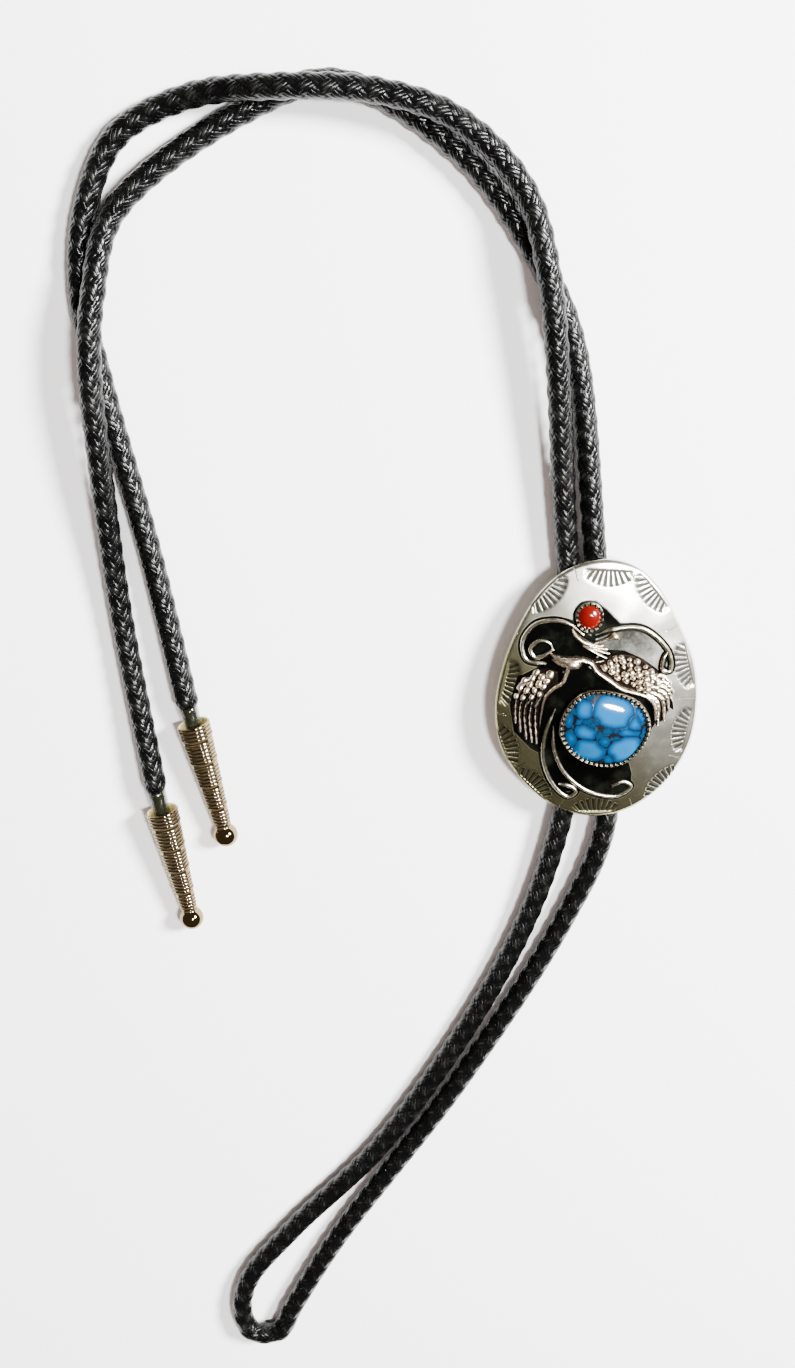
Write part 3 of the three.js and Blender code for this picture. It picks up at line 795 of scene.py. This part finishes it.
# Areas darkened on purpose: depth of colour, softness of the edge and outline, in millimetres.
SOOT_FIELDS = [
    (1.0, 0.35, [(-6.5, 5.0), (-2, 5.6), (2, 3.2), (7, 0.6), (11.4, -1.4), (13.3, -5.0), (13.0, -7.6),
                 (11.4, -10.4), (8.6, -13.6), (7.6, -15.6), (8.6, -19), (8.6, -21.6), (6, -24.3),
                 (0, -23.6), (-4, -21.5), (-7.5, -17), (-9.2, -11), (-9.4, -6), (-9.6, -2)]),
    (0.95, 0.4, [(-7.5, 5.2), (-12, 5.7), (-16.8, 3.0), (-18.4, -3.5), (-17.4, -9.5), (-13.6, -13.4),
                 (-11.5, -14.5), (-10.9, -17), (-9, -21.6), (-6.5, -23.5), (-3.8, -23.4), (-6, -18),
                 (-9, -11), (-9, -4), (-6, 2)]),
    (0.9, 0.5, [(-0.6, 11.8), (-2.2, 12.6), (-5.4, 14.2), (-9.4, 15.3), (-13.4, 14.2), (-15.6, 10.6),
                (-14.8, 7.1), (-10.5, 4.6), (-5, 4), (-1.5, 5.5), (0.5, 8.5)]),
    (0.65, 0.5, [(-0.4, 12.3), (3.2, 13.5), (8.5, 13.6), (12.2, 11.3), (14.7, 8), (15.2, 4.2), (13.5, 2.5),
                 (8, 6), (3, 6.5), (-1, 8)]),
    (0.95, 0.4, [(-1.5, 6.5), (0.5, 3.5), (8, 0), (12.5, -1.5), (17, -5), (15.8, 2.2), (12.5, 5.2),
                 (9.5, 7.4), (5.5, 9.2), (2.0, 9.4)]),
    (0.8, 1.4, [(-5.2, 13.8), (-5.4, 17.0), (-3.8, 19.4), (-0.8, 19.6), (1.6, 17.8), (4.4, 14.9),
                (7.5, 14.3), (3, 13.4), (-2, 12.6)]),
]


def plate_oxide_and_shade(x, y):
    """How dark the plate is at each place: the blackened fields, and the ground beside wires and coral,
    darkened by oxide and by painted shade.
    """
    oxide_and_shade = np.zeros_like(x)
    for depth, blur, corners in SOOT_FIELDS:
        inside = polygon_depth(x, y, np.array(corners) * MM + np.array(RELIEF_AT))
        oxide_and_shade = np.maximum(oxide_and_shade, depth * smooth_step(inside, -blur * MM, 0.5 * MM))
    # painted shade with oxide: a dark band on the ground beside each wire
    for points in WIRES.values():
        near = line_distance(x, y, smooth_line(np.array(points) * MM, 6) + np.array(RELIEF_AT))
        oxide_and_shade = np.maximum(oxide_and_shade, 0.9 * smooth_step(WIRE_RADIUS + 1.0 * MM - near, 0, 0.9 * MM))
    # painted shade with oxide: a dark ring on the ground round the coral cup
    near = np.hypot(x - CORAL_AT[0], y - CORAL_AT[1]) - CORAL_RADIUS
    return np.maximum(oxide_and_shade, 0.85 * smooth_step(0.8 * MM - near, 0, 0.7 * MM))


def hammer_waves(x, y):
    """A slightly uneven surface, as sixteen low waves that run every way."""
    waves = np.zeros_like(x)
    for _ in range(16):
        direction = rng.uniform(0, 2 * math.pi)
        wave = 2 * math.pi / (rng.uniform(6, 13) * MM)
        waves += np.sin((x * math.cos(direction) + y * math.sin(direction)) * wave + rng.uniform(0, 6.28))
    return waves * 0.009 * MM


def add_plate(finish):
    """The domed plate: rings of points out to its edge, then back under it."""
    rings = 110
    count = 500
    outline = plate_edge[np.linspace(0, len(plate_edge), count, endpoint=False).astype(int)]

    def ring_places(shares):
        return (shares[:, None, None] * outline).reshape(-1, 2).T

    x, y = ring_places(np.linspace(0, 1, rings + 1)[1:] ** 0.8)
    z = plate_top(x, y) + hammer_waves(x, y)
    places = stamp_places(x, y)
    along, inwards, _ = places.T
    in_stamp = smooth_step(FAN_REACH + 0.3 - np.hypot(along, inwards), 0, 1.2)
    in_stamp *= smooth_step(inwards, FAN_FOOT - 0.35, FAN_FOOT)
    in_stamp *= smooth_step(5.2 - np.abs(along), 0, 0.8)
    z -= STAMP_DEPTH * in_stamp
    z -= EDGE_DROP * smooth_step(edge_share(x, y), 0.972, 1.0) ** 1.5
    oxide_and_shade = plate_oxide_and_shade(x, y) + in_stamp * 0.2
    under_x, under_y = ring_places(np.array([0.99, 0.93, 0.8, 0.6, 0.4, 0.2]))
    under_z = plate_top(under_x, under_y) - (RIM_TOP - RIM_UNDER)
    hubs = [[0, 0, RIM_TOP + DOME_RISE], [0, 0, RIM_UNDER + DOME_RISE]]
    verts = np.concatenate([np.c_[x, y, z], np.c_[under_x, under_y, under_z], hubs])
    hub = len(verts) - 2
    faces = band_faces(hub // count, count)[:, ::-1].tolist()
    faces += fan_faces(hub, 0, count) + fan_faces(hub + 1, hub - count, count, flip=True)
    plain = len(verts) - len(x)
    attributes = {
        "oxide_and_shade": np.r_[oxide_and_shade, np.zeros(plain)],
        "stamp_place": np.concatenate([places, np.full((plain, 3), 9.0)]),
    }
    plate = mesh_piece("stamped_plate", verts, faces, finish, attributes)
    return add_piece(plate, "slide_silver", "slide_plate")


def add_cup(name, outline, place, reach, wall, tall, teeth, finish):
    """A stone's cup whose top edge is cut in teeth that lean over the stone."""
    per_tooth = 8
    count = teeth * per_tooth
    ring = closed_ring(outline, count)
    tooth = 1 - np.abs((np.arange(count) / per_tooth % 1) * 2 - 1)
    tooth = np.clip(tooth * 1.5 - 0.15, 0, 1)
    level = np.ones(count)
    top = plate_top(*place) + tall
    foot = plate_top(*place) - 0.9 * MM
    inner = 1 - wall / reach
    lean = 1 - (wall + 0.25 * MM) / reach
    # each row's share of the outline, its heights, and how dark it is: painted shade down the cup's walls
    # and between its teeth
    rows = [
        (1.035, foot * level, 1.0 * level),
        (1.02, (top - 1.25 * MM) * level, 0.8 * level),
        (1.0, (top - 0.9 * MM) * level, 0.5 * level),
        (0.985, top - 0.75 * MM + tooth * 0.45 * MM, 1.1 - 1.3 * tooth),
        (0.965, top - 0.7 * MM + tooth * 0.62 * MM, 1.1 - 1.3 * tooth),
        (lean, top - 0.76 * MM + tooth * 0.52 * MM, 1.1 - 1.3 * tooth),
        (inner, (top - 1.0 * MM) * level, 1.0 * level),
        (inner, foot * level, 1.0 * level),
    ]
    verts = np.concatenate([np.c_[ring * share + np.array(place), z] for share, z, _ in rows])
    attributes = {"blackening_and_shade": np.concatenate([dark for _, _, dark in rows])}
    faces = band_faces(len(rows), count, loop=True)
    return add_piece(mesh_piece(name, verts, faces, finish, attributes, smooth=False), "slide_silver")


def wire_tree(material):
    """A tree that turns a line into a round wire drawn to a point at its start."""
    g, line, sizes = start_tree("scroll_wire", WIRE_SIZES)
    radius, point_length, point_share, end_length, end_share = sizes
    run = g.out(g.node("GeometryNodeSplineParameter"), "Length")
    left = g.out(g.node("GeometryNodeSplineLength"), "Length") - run
    size = radius * g.ramp(run, 0.0, point_length, point_share) * g.ramp(left, 0.0, end_length, end_share)
    ring = g.node("GeometryNodeCurvePrimitiveCircle", None, {"Resolution": 12, "Radius": 1.0})
    parts = {"Curve": line, "Profile Curve": ring.outputs[0], "Scale": size, "Fill Caps": True}
    wire = g.node("GeometryNodeCurveToMesh", None, parts)
    _, _, up = g.parts(g.node("GeometryNodeInputNormal").outputs[0])
    # painted shade: each wire darker on its sides, the more they face away from straight up
    shape = g.store(wire.outputs[0], "blackening_and_shade", g.maths("MAXIMUM", 0.55 - up * 0.9, 0.0))
    return end_tree(g, shape, material)


def add_wire(name, points, tree):
    """A scroll wire, half sunk in its solder on the plate."""
    line = even_line(smooth_line(np.array(points) * MM, 24) + np.array(RELIEF_AT), 0.16 * MM)
    lying = line_object(f"{name}_line", np.c_[line, plate_top(*line.T) + 0.22 * MM])
    return add_piece(grown_mesh(name, lying, tree, WIRE_SIZES), "slide_silver")


# ---------------------------------------------------------------- eagle relief
class Relief:
    """A grid of heights above the plate that strokes, beads and feathers are laid on, in millimetres."""

    def __init__(self, low, high, step):
        self.x, self.y = np.meshgrid(np.arange(low[0], high[0], step), np.arange(low[1], high[1], step))
        self.height = np.zeros_like(self.x)

    def raise_to(self, height):
        self.height = np.maximum(self.height, height)

    def bed(self, corners, height):
        """A flat ground under the feathers, sloping off at its edge."""
        inside = polygon_depth(self.x, self.y, corners)
        self.raise_to(height * np.clip(inside / 0.35, 0, 1))

    def stroke(self, *stations):
        """A rounded bar through stations of x, y, radius and height."""
        line = smooth_line(np.array(stations, float), 14)
        for x, y, radius, height in line:
            inside = 1 - ((self.x - x) ** 2 + (self.y - y) ** 2) / radius**2
            self.raise_to(height * np.sqrt(np.clip(inside, 0, 1)))

    def bead(self, x, y, heading, length, width, height):
        """A small round-ended feather, highest towards its free end."""
        ahead = (self.x - x) * math.cos(heading) + (self.y - y) * math.sin(heading)
        across = (self.y - y) * math.cos(heading) - (self.x - x) * math.sin(heading)
        u = ahead / (length / 2)
        v = across / (width / 2)
        dome = np.sqrt(np.clip(1 - np.abs(u) ** 2.4 - np.abs(v) ** 2.4, 0, 1))
        self.raise_to(height * dome * (0.86 + 0.14 * u))

    def feather(self, stations, height):
        """A long feather through stations of x, y and half width, with a raised rim and a quill."""
        line = smooth_line(np.array(stations, float), 16)
        near = np.full(self.x.shape, 9.0)
        wide = np.full(self.x.shape, 1.0)
        along = np.zeros(self.x.shape)
        for k, (x, y, half) in enumerate(line):
            reach = np.hypot(self.x - x, self.y - y)
            closer = reach < near
            near[closer] = reach[closer]
            wide[closer] = half
            along[closer] = k / len(line)
        v = near / wide
        vane = np.sqrt(np.clip(1 - v**4, 0, 1)) * (0.62 + 0.26 * v**2)
        quill = 0.34 * np.exp(-((near / 0.13) ** 2))
        barbs = 0.04 * np.sin(along * 46 - near * 7)
        self.raise_to(np.where(v < 1, height * (vane + quill + barbs) * (0.8 + 0.2 * along), 0))

    def blurred(self, reach):
        """Heights averaged over reach grid steps each way, by running sums."""
        out = self.height.copy()
        for axis in (0, 1):
            edges = [(reach + 1, reach) if a == axis else (0, 0) for a in (0, 1)]
            total = np.cumsum(np.pad(out, edges, "edge"), axis=axis)
            size = out.shape[axis]
            width = 2 * reach + 1
            high = np.take(total, np.arange(width, width + size), axis)
            out = (high - np.take(total, np.arange(size), axis)) / width
        return out


def lay_beads(relief, lead, trail, rows, columns, size, turn, height):
    """Rows of small feathers between two lines, from the outer end back to the body."""
    lead = smooth_line(np.array(lead, float), 20)
    trail = smooth_line(np.array(trail, float), 20)
    for column in reversed(range(columns)):
        for row in range(rows):
            share = min(0.99, (column + 0.5 + 0.5 * (row % 2)) / columns)
            at = int(share * (len(lead) - 1))
            a = lead[at]
            b = trail[int(share * (len(trail) - 1))]
            spot = a + (b - a) * (row + 0.5) / rows + rng.uniform(-0.17, 0.17, 2)
            step = lead[min(at + 4, len(lead) - 1)] - a if share <= 0.9 else a - lead[at - 4]
            heading = math.atan2(step[1], step[0]) + turn + rng.uniform(-0.35, 0.35)
            scale = rng.uniform(0.72, 1.3)
            relief.bead(*spot, heading, size[0] * scale, size[1] * scale, height * rng.uniform(0.72, 1.12))


# Small feathers on the left wing, from the shoulder down: middle and size, in millimetres.
LEFT_WING_SMALL_FEATHERS = [
    (-10.0, 3.7, 1.9), (-11.7, 3.1, 1.5), (-12.9, 4.1, 1.5), (-13.7, 2.8, 1.4), (-10.6, 2.3, 1.4),
    (-12.3, 1.6, 1.4), (-14.2, 1.4, 1.4), (-15.4, 2.3, 1.3), (-11.3, 1.0, 1.3), (-13.2, 0.2, 1.3),
    (-14.9, 0.1, 1.3), (-16.2, 0.6, 1.2), (-12.1, -0.6, 1.2), (-13.8, -1.3, 1.3), (-15.6, -1.5, 1.3),
    (-17.0, -1.2, 1.2),
]


def shape_right_wing(relief):
    """Its ground, long feathers, small feathers and the bars at its root, then the leading edge."""
    relief.bed([(-1.9, 7.6), (-0.5, 4.6), (2.3, 2.6), (5.2, 0.7), (8.2, -0.3), (10.6, -1.4), (12.6, -3.6),
                (12.9, -7.6), (14.7, -6.8), (15.8, -3.8), (16.4, -0.6), (15.8, 2.2), (13.4, 3.9),
                (11.4, 5.6), (9.8, 7.0), (7.0, 8.2), (4.4, 8.7), (2.4, 8.3), (0.4, 7.4)], 0.3)
    for root, bend, end in (
        ((10.6, -0.6), (12.9, -2.6), (13.4, -7.6)),
        ((10.9, 0.1), (14.0, -1.8), (14.7, -6.6)),
        ((11.0, 0.8), (14.6, -0.8), (15.6, -4.4)),
        ((11.2, 1.6), (14.6, 0.6), (16.3, -2.2)),
        ((11.3, 2.5), (14.4, 2.0), (16.4, -0.2)),
        ((11.0, 3.5), (13.8, 3.2), (15.8, 1.8)),
    ):
        relief.feather([(*root, 0.45), (*bend, 0.62), (*end, 0.3)], 1.0)
    lay_beads(
        relief,
        [(0.4, 5.6), (3.2, 3.6), (6.6, 1.5), (9.6, 0.3), (12.0, 0.0)],
        [(3.0, 8.0), (6.0, 8.0), (9.4, 6.6), (12.4, 4.2), (14.2, 3.0)],
        5, 8, (1.55, 1.15), -0.05, 1.3,
    )
    for k in range(4):
        foot = (-0.4 + k * 0.9, 6.6 - k * 0.75, 0.16, 0.55)
        tip = (1.1 + k * 0.9, 6.9 - k * 0.9, 0.14, 0.5)
        relief.stroke(foot, tip)
    relief.stroke((-3.0, 7.0, 0.75, 1.25), (-1.6, 6.5, 0.6, 1.2), (-0.2, 4.6, 0.55, 1.2),
                  (2.4, 2.7, 0.55, 1.2), (5.1, 0.8, 0.55, 1.2), (8.1, -0.2, 0.55, 1.15),
                  (10.5, -1.1, 0.5, 1.05), (12.3, -3.2, 0.42, 0.9), (12.8, -6.4, 0.3, 0.65))


def shape_left_wing(relief):
    """Its ground, long feathers, middle feathers, small feathers, then the leading edge."""
    relief.bed([(-8.3, 4.4), (-10.6, 5.2), (-13.2, 4.9), (-15.4, 3.4), (-17.0, 1.0), (-17.9, -2.4),
                (-17.9, -5.6), (-16.9, -8.8), (-15.2, -10.8), (-13.4, -12.2), (-12.0, -12.2),
                (-11.7, -8.5), (-11.3, -5.3), (-10.5, -2.2), (-8.9, 0.5), (-8.1, 2.3)], 0.26)
    for root, bend, end in (
        ((-15.6, 1.2), (-17.0, -2.4), (-17.0, -7.2)),
        ((-15.0, 0.4), (-16.2, -4.0), (-15.9, -9.2)),
        ((-14.2, 0.0), (-15.2, -5.0), (-14.6, -10.8)),
        ((-13.4, -0.6), (-14.1, -6.0), (-13.4, -11.6)),
        ((-12.5, -1.0), (-12.9, -6.0), (-12.4, -11.8)),
    ):
        relief.feather([(*root, 0.45), (*bend, 0.6), (*end, 0.34)], 0.9)
    for root, end in (
        ((-14.6, 2.6), (-16.6, 0.6)), ((-13.9, 0.9), (-16.2, -1.3)),
        ((-12.8, -0.3), (-14.6, -2.7)), ((-11.6, -0.9), (-13.0, -3.4)),
    ):
        middle = (np.array(root) + end) / 2
        relief.feather([(*root, 0.45), (*middle, 0.62), (*end, 0.42)], 1.0)
    for x, y, size in LEFT_WING_SMALL_FEATHERS:
        relief.bead(x, y, rng.uniform(-2.3, -1.5), size * 1.25, size, rng.uniform(1.1, 1.4))
    relief.stroke((-6.2, 5.4, 0.6, 1.2), (-6.6, 3.9, 0.5, 1.1), (-7.3, 2.1, 0.48, 1.1),
                  (-9.5, 0.4, 0.46, 1.05), (-11.0, -1.5, 0.42, 0.95), (-11.6, -4.6, 0.34, 0.8),
                  (-11.9, -8.2, 0.26, 0.6))


def shape_head_and_tail(relief):
    """Head, beak and breast, then the leg, the foot and the fan of tail feathers."""
    relief.stroke((-10.2, 8.5, 0.2, 0.5), (-9.4, 7.9, 0.42, 0.9), (-8.2, 7.2, 0.75, 1.3),
                  (-6.3, 6.8, 1.05, 1.5), (-4.6, 6.9, 1.05, 1.5), (-3.4, 7.1, 0.8, 1.3))
    relief.bead(-5.4, 6.4, -1.68, 2.8, 4.2, 2.0)
    relief.bead(-8.1, 7.3, -0.5, 2.6, 1.3, 1.5)
    relief.stroke((-9.9, 7.3, 0.16, 0.4), (-8.6, 6.4, 0.34, 0.8), (-7.2, 5.8, 0.5, 1.1))

    # leg and foot, the fan of tail feathers, and the knobbed bar beside them
    relief.stroke((-5.6, 13.6, 0.3, 0.7), (-4.9, 12.4, 0.5, 1.1), (-3.6, 11.3, 0.62, 1.25),
                  (-2.3, 10.7, 0.6, 1.2), (-1.2, 10.5, 0.4, 0.9))
    for end in ((-0.2, 10.9), (1.0, 10.3), (1.9, 9.5), (2.3, 8.5), (1.7, 7.5)):
        middle = ((end[0] - 3.2) / 2, (end[1] + 10.2) / 2)
        relief.stroke((-3.2, 10.2, 0.36, 1.0), (*middle, 0.27, 1.15), (*end, 0.17, 0.85))
    relief.stroke((-0.8, 10.9, 0.26, 0.7), (0.8, 11.3, 0.34, 0.85), (2.2, 11.9, 0.5, 1.0),
                  (3.3, 12.3, 0.8, 1.4), (4.2, 11.8, 0.42, 0.8))


def relief_hollows(relief):
    """How black the cast metal is at each place: in its hollows, and over the lower ends of both wings."""
    cavity = np.clip((relief.blurred(5) - relief.height) * 2.6 + 0.12, 0, 1)
    cavity = np.maximum(cavity, 1 - smooth_step(relief.height, 0.3, 0.62))
    low_left = smooth_step(-relief.x, 8.5, 11.0) * smooth_step(-relief.y, -2.0, 2.5)
    low_right = smooth_step(relief.x, 12.0, 14.5) * smooth_step(-relief.y, -1.5, 3.0)
    return np.clip(cavity * (1 + 1.1 * low_left) + 0.6 * low_left + 0.48 * low_right, 0, 1)


def any_of_four(grid):
    """For each place between four neighbours in a grid, whether any of them is true."""
    return grid[:-1, :-1] | grid[1:, :-1] | grid[:-1, 1:] | grid[1:, 1:]


def corner_touches(squares):
    """The points where two of a grid's squares meet only at a corner."""
    low, high = np.pad(squares, 1)[:-1], np.pad(squares, 1)[1:]
    one_way = low[:, :-1] & high[:, 1:] & ~low[:, 1:] & ~high[:, :-1]
    other_way = low[:, 1:] & high[:, :-1] & ~low[:, :-1] & ~high[:, 1:]
    return one_way | other_way


def add_eagle(finish):
    """The cast relief as a closed shell on the plate: its top, its underside and walls round its edges."""
    relief = Relief((-18.8, -13.6), (17.6, 14.2), 0.12)
    shape_right_wing(relief)
    shape_left_wing(relief)
    shape_head_and_tail(relief)
    kept = relief.height > 0.02
    squares = any_of_four(kept)
    while corner_touches(squares).any():
        squares |= any_of_four(corner_touches(squares))
    used = any_of_four(np.pad(squares, 1))
    number = np.cumsum(used.ravel()).reshape(used.shape) - 1
    x = relief.x[used] * MM + RELIEF_AT[0]
    y = relief.y[used] * MM + RELIEF_AT[1]
    ground = plate_top(x, y)
    height = np.where(kept[used], relief.height[used], -0.15) * MM
    verts = np.concatenate([np.c_[x, y, ground + height], np.c_[x, y, ground - 0.3 * MM]])
    count = len(x)
    j, i = np.nonzero(squares)
    top = np.stack([number[j, i], number[j, i + 1], number[j + 1, i + 1], number[j + 1, i]], 1)
    faces = top.tolist() + (top[:, ::-1] + count).tolist()
    sides = zip(top.ravel().tolist(), np.roll(top, -1, 1).ravel().tolist())
    edges = dict.fromkeys(sides)
    faces += [(b, a, a + count, b + count) for a, b in edges if (b, a) not in edges]
    blackening_and_shade = np.r_[relief_hollows(relief)[used], np.ones(count)]
    return add_piece(mesh_piece("eagle_relief", verts, faces, finish, {"blackening_and_shade": blackening_and_shade}), "slide_silver")


# ---------------------------------------------------------------- stones
BLOCK_SPREAD = 0.14  # how far each block reaches past its own sizes, in millimetres
SEAM_HALF_WIDTH = 0.08  # of the least black line between two blocks, in millimetres
# Blocks in the turquoise: middle and half sizes in millimetres, turn in degrees, and how green.
NUGGETS = [
    (1.5, 4.3, 4.25, 3.5, -18, 0.0), (-4.6, 4.7, 1.7, 2.05, -10, 0.0), (-7.7, 2.15, 0.65, 1.45, -8, 0.1),
    (-5.75, 1.9, 0.5, 0.6, 0, 0.1), (-4.3, -0.25, 2.25, 1.5, -14, 0.05), (-7.2, -1.9, 1.0, 1.9, 14, 0.2),
    (-3.25, -4.45, 3.4, 2.4, -12, 0.15), (4.35, -4.2, 3.65, 2.75, 22, 0.0),
    (-0.3, -2.5, 1.1, 1.3, -30, 0.6), (6.0, 1.45, 1.35, 1.8, 15, 0.0),
    (5.0, -0.3, 2.25, 0.9, -6, 0.1), (7.3, 3.35, 0.75, 1.8, 28, 0.0),
    (1.05, -6.5, 1.0, 0.95, 0, 0.1), (-3.9, 2.15, 1.0, 0.65, 10, 0.9), (-2.1, 2.15, 0.65, 0.7, 0, 1.0),
    (-3.1, 1.05, 0.8, 0.5, -20, 1.0), (0.4, 0.05, 1.0, 0.6, 5, 0.9), (-1.3, -1.0, 0.8, 0.6, 10, 1.0),
    (2.3, 0.2, 0.7, 0.45, 20, 0.8), (8.2, -1.0, 0.4, 1.4, -5, 0.6), (-3.6, 7.3, 0.8, 0.35, 8, 0.8),
    (2.3, -1.6, 0.6, 0.35, 0, 0.9), (-7.0, 4.2, 0.45, 0.6, 0, 0.5),
]


def nugget_fields(x, y):
    """How far each place is outside its nearest block, in millimetres, and how green that block is.
    Where two blocks would overlap, a seam runs midway between them."""
    nearest = np.full(x.shape, 9.0)
    second = np.full(x.shape, 9.0)
    green = np.zeros(x.shape)
    for cx, cy, half_x, half_y, turn, tint in NUGGETS:
        angle = math.radians(turn)
        u = ((x - cx) * math.cos(angle) + (y - cy) * math.sin(angle)) / half_x
        v = ((y - cy) * math.cos(angle) - (x - cx) * math.sin(angle)) / half_y
        reach = (np.abs(u) ** 2.5 + np.abs(v) ** 2.5) ** (1 / 2.5)
        outside = (reach - 1) * min(half_x, half_y) - BLOCK_SPREAD
        nearer = outside < nearest
        second = np.minimum(second, np.where(nearer, nearest, outside))
        nearest = np.minimum(nearest, outside)
        green[nearer] = tint
    depth = np.minimum(-nearest, (second - nearest) / 2)
    return SEAM_HALF_WIDTH - depth, green


def add_stone(name, outline, place, reach, wall, tall, dome, finish, slot, node, rings, count):
    """A cabochon in its cup: a flat back, a straight girdle and a dome of rings."""
    ring = closed_ring(outline, count) * (1 - (wall + 0.02 * MM) / reach)
    girdle = plate_top(*place) + tall - 0.95 * MM
    back = girdle - 1.0 * MM
    share = np.linspace(1, 0, rings, endpoint=False)
    rows = [(1.0, back), *zip(share, girdle + dome * (1 - share**2.6))]
    verts = np.concatenate([np.c_[ring * s, np.full(count, z)] for s, z in rows])
    hub = len(verts)
    faces = band_faces(len(rows), count).tolist()
    faces += fan_faces(hub, hub - count, count) + fan_faces(hub + 1, 0, count, flip=True)
    verts = np.concatenate([verts, [[0, 0, girdle + dome], [0, 0, back]]])
    gap, green = nugget_fields(verts[:, 0] / MM, verts[:, 1] / MM)
    verts[:, :2] += np.array(place)
    stone = mesh_piece(name, verts, faces, finish, {"nugget_gap": gap, "nugget_green": green})
    return add_piece(stone, slot, node)


# ---------------------------------------------------------------- floor and light
def add_floor():
    """A wide pale floor that everything rests on."""
    finish = Finish("pale_floor", Base_Color=rgb(0.93, 0.92, 0.92), Roughness=0.7, Specular_IOR_Level=0.2)
    half = 3.0
    low = -0.02 * MM  # just under all that rests on it
    corners = [(-half, -half, low), (half, -half, low), (half, half, low), (-half, half, low)]
    mesh_piece("floor", corners, [(0, 1, 2, 3)], finish.material, smooth=False)


def add_area(name, place, target, size, power, tint=(1.0, 1.0, 1.0), along=(1.0, 0.0, 0.0)):
    """An oval lamp at a place, turned to a target, with its long side along a direction."""
    data = bpy.data.lights.new(name, "AREA")
    data.shape = "ELLIPSE"
    data.size, data.size_y = size
    data.energy = power
    data.color = tint
    lamp = bpy.data.objects.new(name, data)
    lamp.location = place
    back = (Vector(place) - Vector(target)).normalized()
    up = back.cross(Vector(along)).normalized()
    lamp.rotation_euler = Matrix((up.cross(back), up, back)).transposed().to_euler()
    bpy.context.scene.collection.objects.link(lamp)
    return lamp


def add_light():
    """A warm dim room, a bright window high to the right, and a strip lamp over the slide."""
    world = bpy.data.worlds.new("studio")
    bpy.context.scene.world = world
    world.use_nodes = True
    background = world.node_tree.nodes["Background"]
    background.inputs["Color"].default_value = rgb(1.0, 0.86, 0.66)
    background.inputs["Strength"].default_value = 0.13
    middle = (-0.04, -0.02, 0.0)
    add_area("key_window", (0.62, 0.34, 0.60), middle, (0.24, 0.24), 66.0)
    add_area("top_strip", (0.24, 0.08, 0.90), middle, (0.17, 0.085), 17.0, along=(1.0, -0.36, 0.0))
    room = add_area("room", (-0.35, -0.35, 1.1), middle, (1.4, 1.4), 6.0, tint=(1.0, 0.82, 0.80))
    room.visible_glossy = False


# ---------------------------------------------------------------- the tie
add_camera()
leather = leather_finish()
cord, cord_line, cord_length = add_cord(leather)

plated = tip_finish()
bore = tip_bore_finish()
clear = sleeve_finish()
on_cord = []
for number, cord_end, ball in TIP_BALLS:
    tip, end, mouth, heading = add_tip(number, cord_end, ball, plated, bore)
    on_cord += [tip, *add_sleeve(number, end, mouth, heading, clear, leather)]

clip_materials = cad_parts["cord_clip"].data.materials
clip_materials.clear()
clip_materials.append(clip_finish())

silver = cast_finish("drawn_silver", rgb(0.56, 0.53, 0.41), rgb(0.006, 0.006, 0.005), 0.16)
rosy = cast_finish("cast_rosy_silver", rgb(0.80, 0.67, 0.52), rgb(0.006, 0.004, 0.003), 0.2)
add_plate(plate_finish())
turquoise_edge = smooth_line(np.array(TURQUOISE_EDGE) * MM, 30, closed=True)
coral_angle = np.linspace(0, 2 * math.pi, 120, endpoint=False)
coral_edge = np.c_[np.cos(coral_angle), 1.07 * np.sin(coral_angle)] * CORAL_RADIUS
# each setting: outline, place, half width, wall and height
turquoise_setting = (turquoise_edge, TURQUOISE_AT, 9.0 * MM, 0.5 * MM, 2.4 * MM)
coral_setting = (coral_edge, CORAL_AT, CORAL_RADIUS, 0.3 * MM, 2.0 * MM)
add_cup("turquoise_cup", *turquoise_setting, 50, silver)
add_cup("coral_cup", *coral_setting, 16, silver)
scroll_wire = wire_tree(silver)
for label, points in WIRES.items():
    add_wire(label, points, scroll_wire)
add_eagle(rosy)
add_stone("turquoise_cabochon", *turquoise_setting, 1.3 * MM, turquoise_finish(), "turquoise",
          "turquoise_stone", rings=120, count=420)
add_stone("coral_cabochon", *coral_setting, 1.45 * MM, coral_finish(), "coral",
          "coral_stone", rings=24, count=96)

add_floor()
add_light()
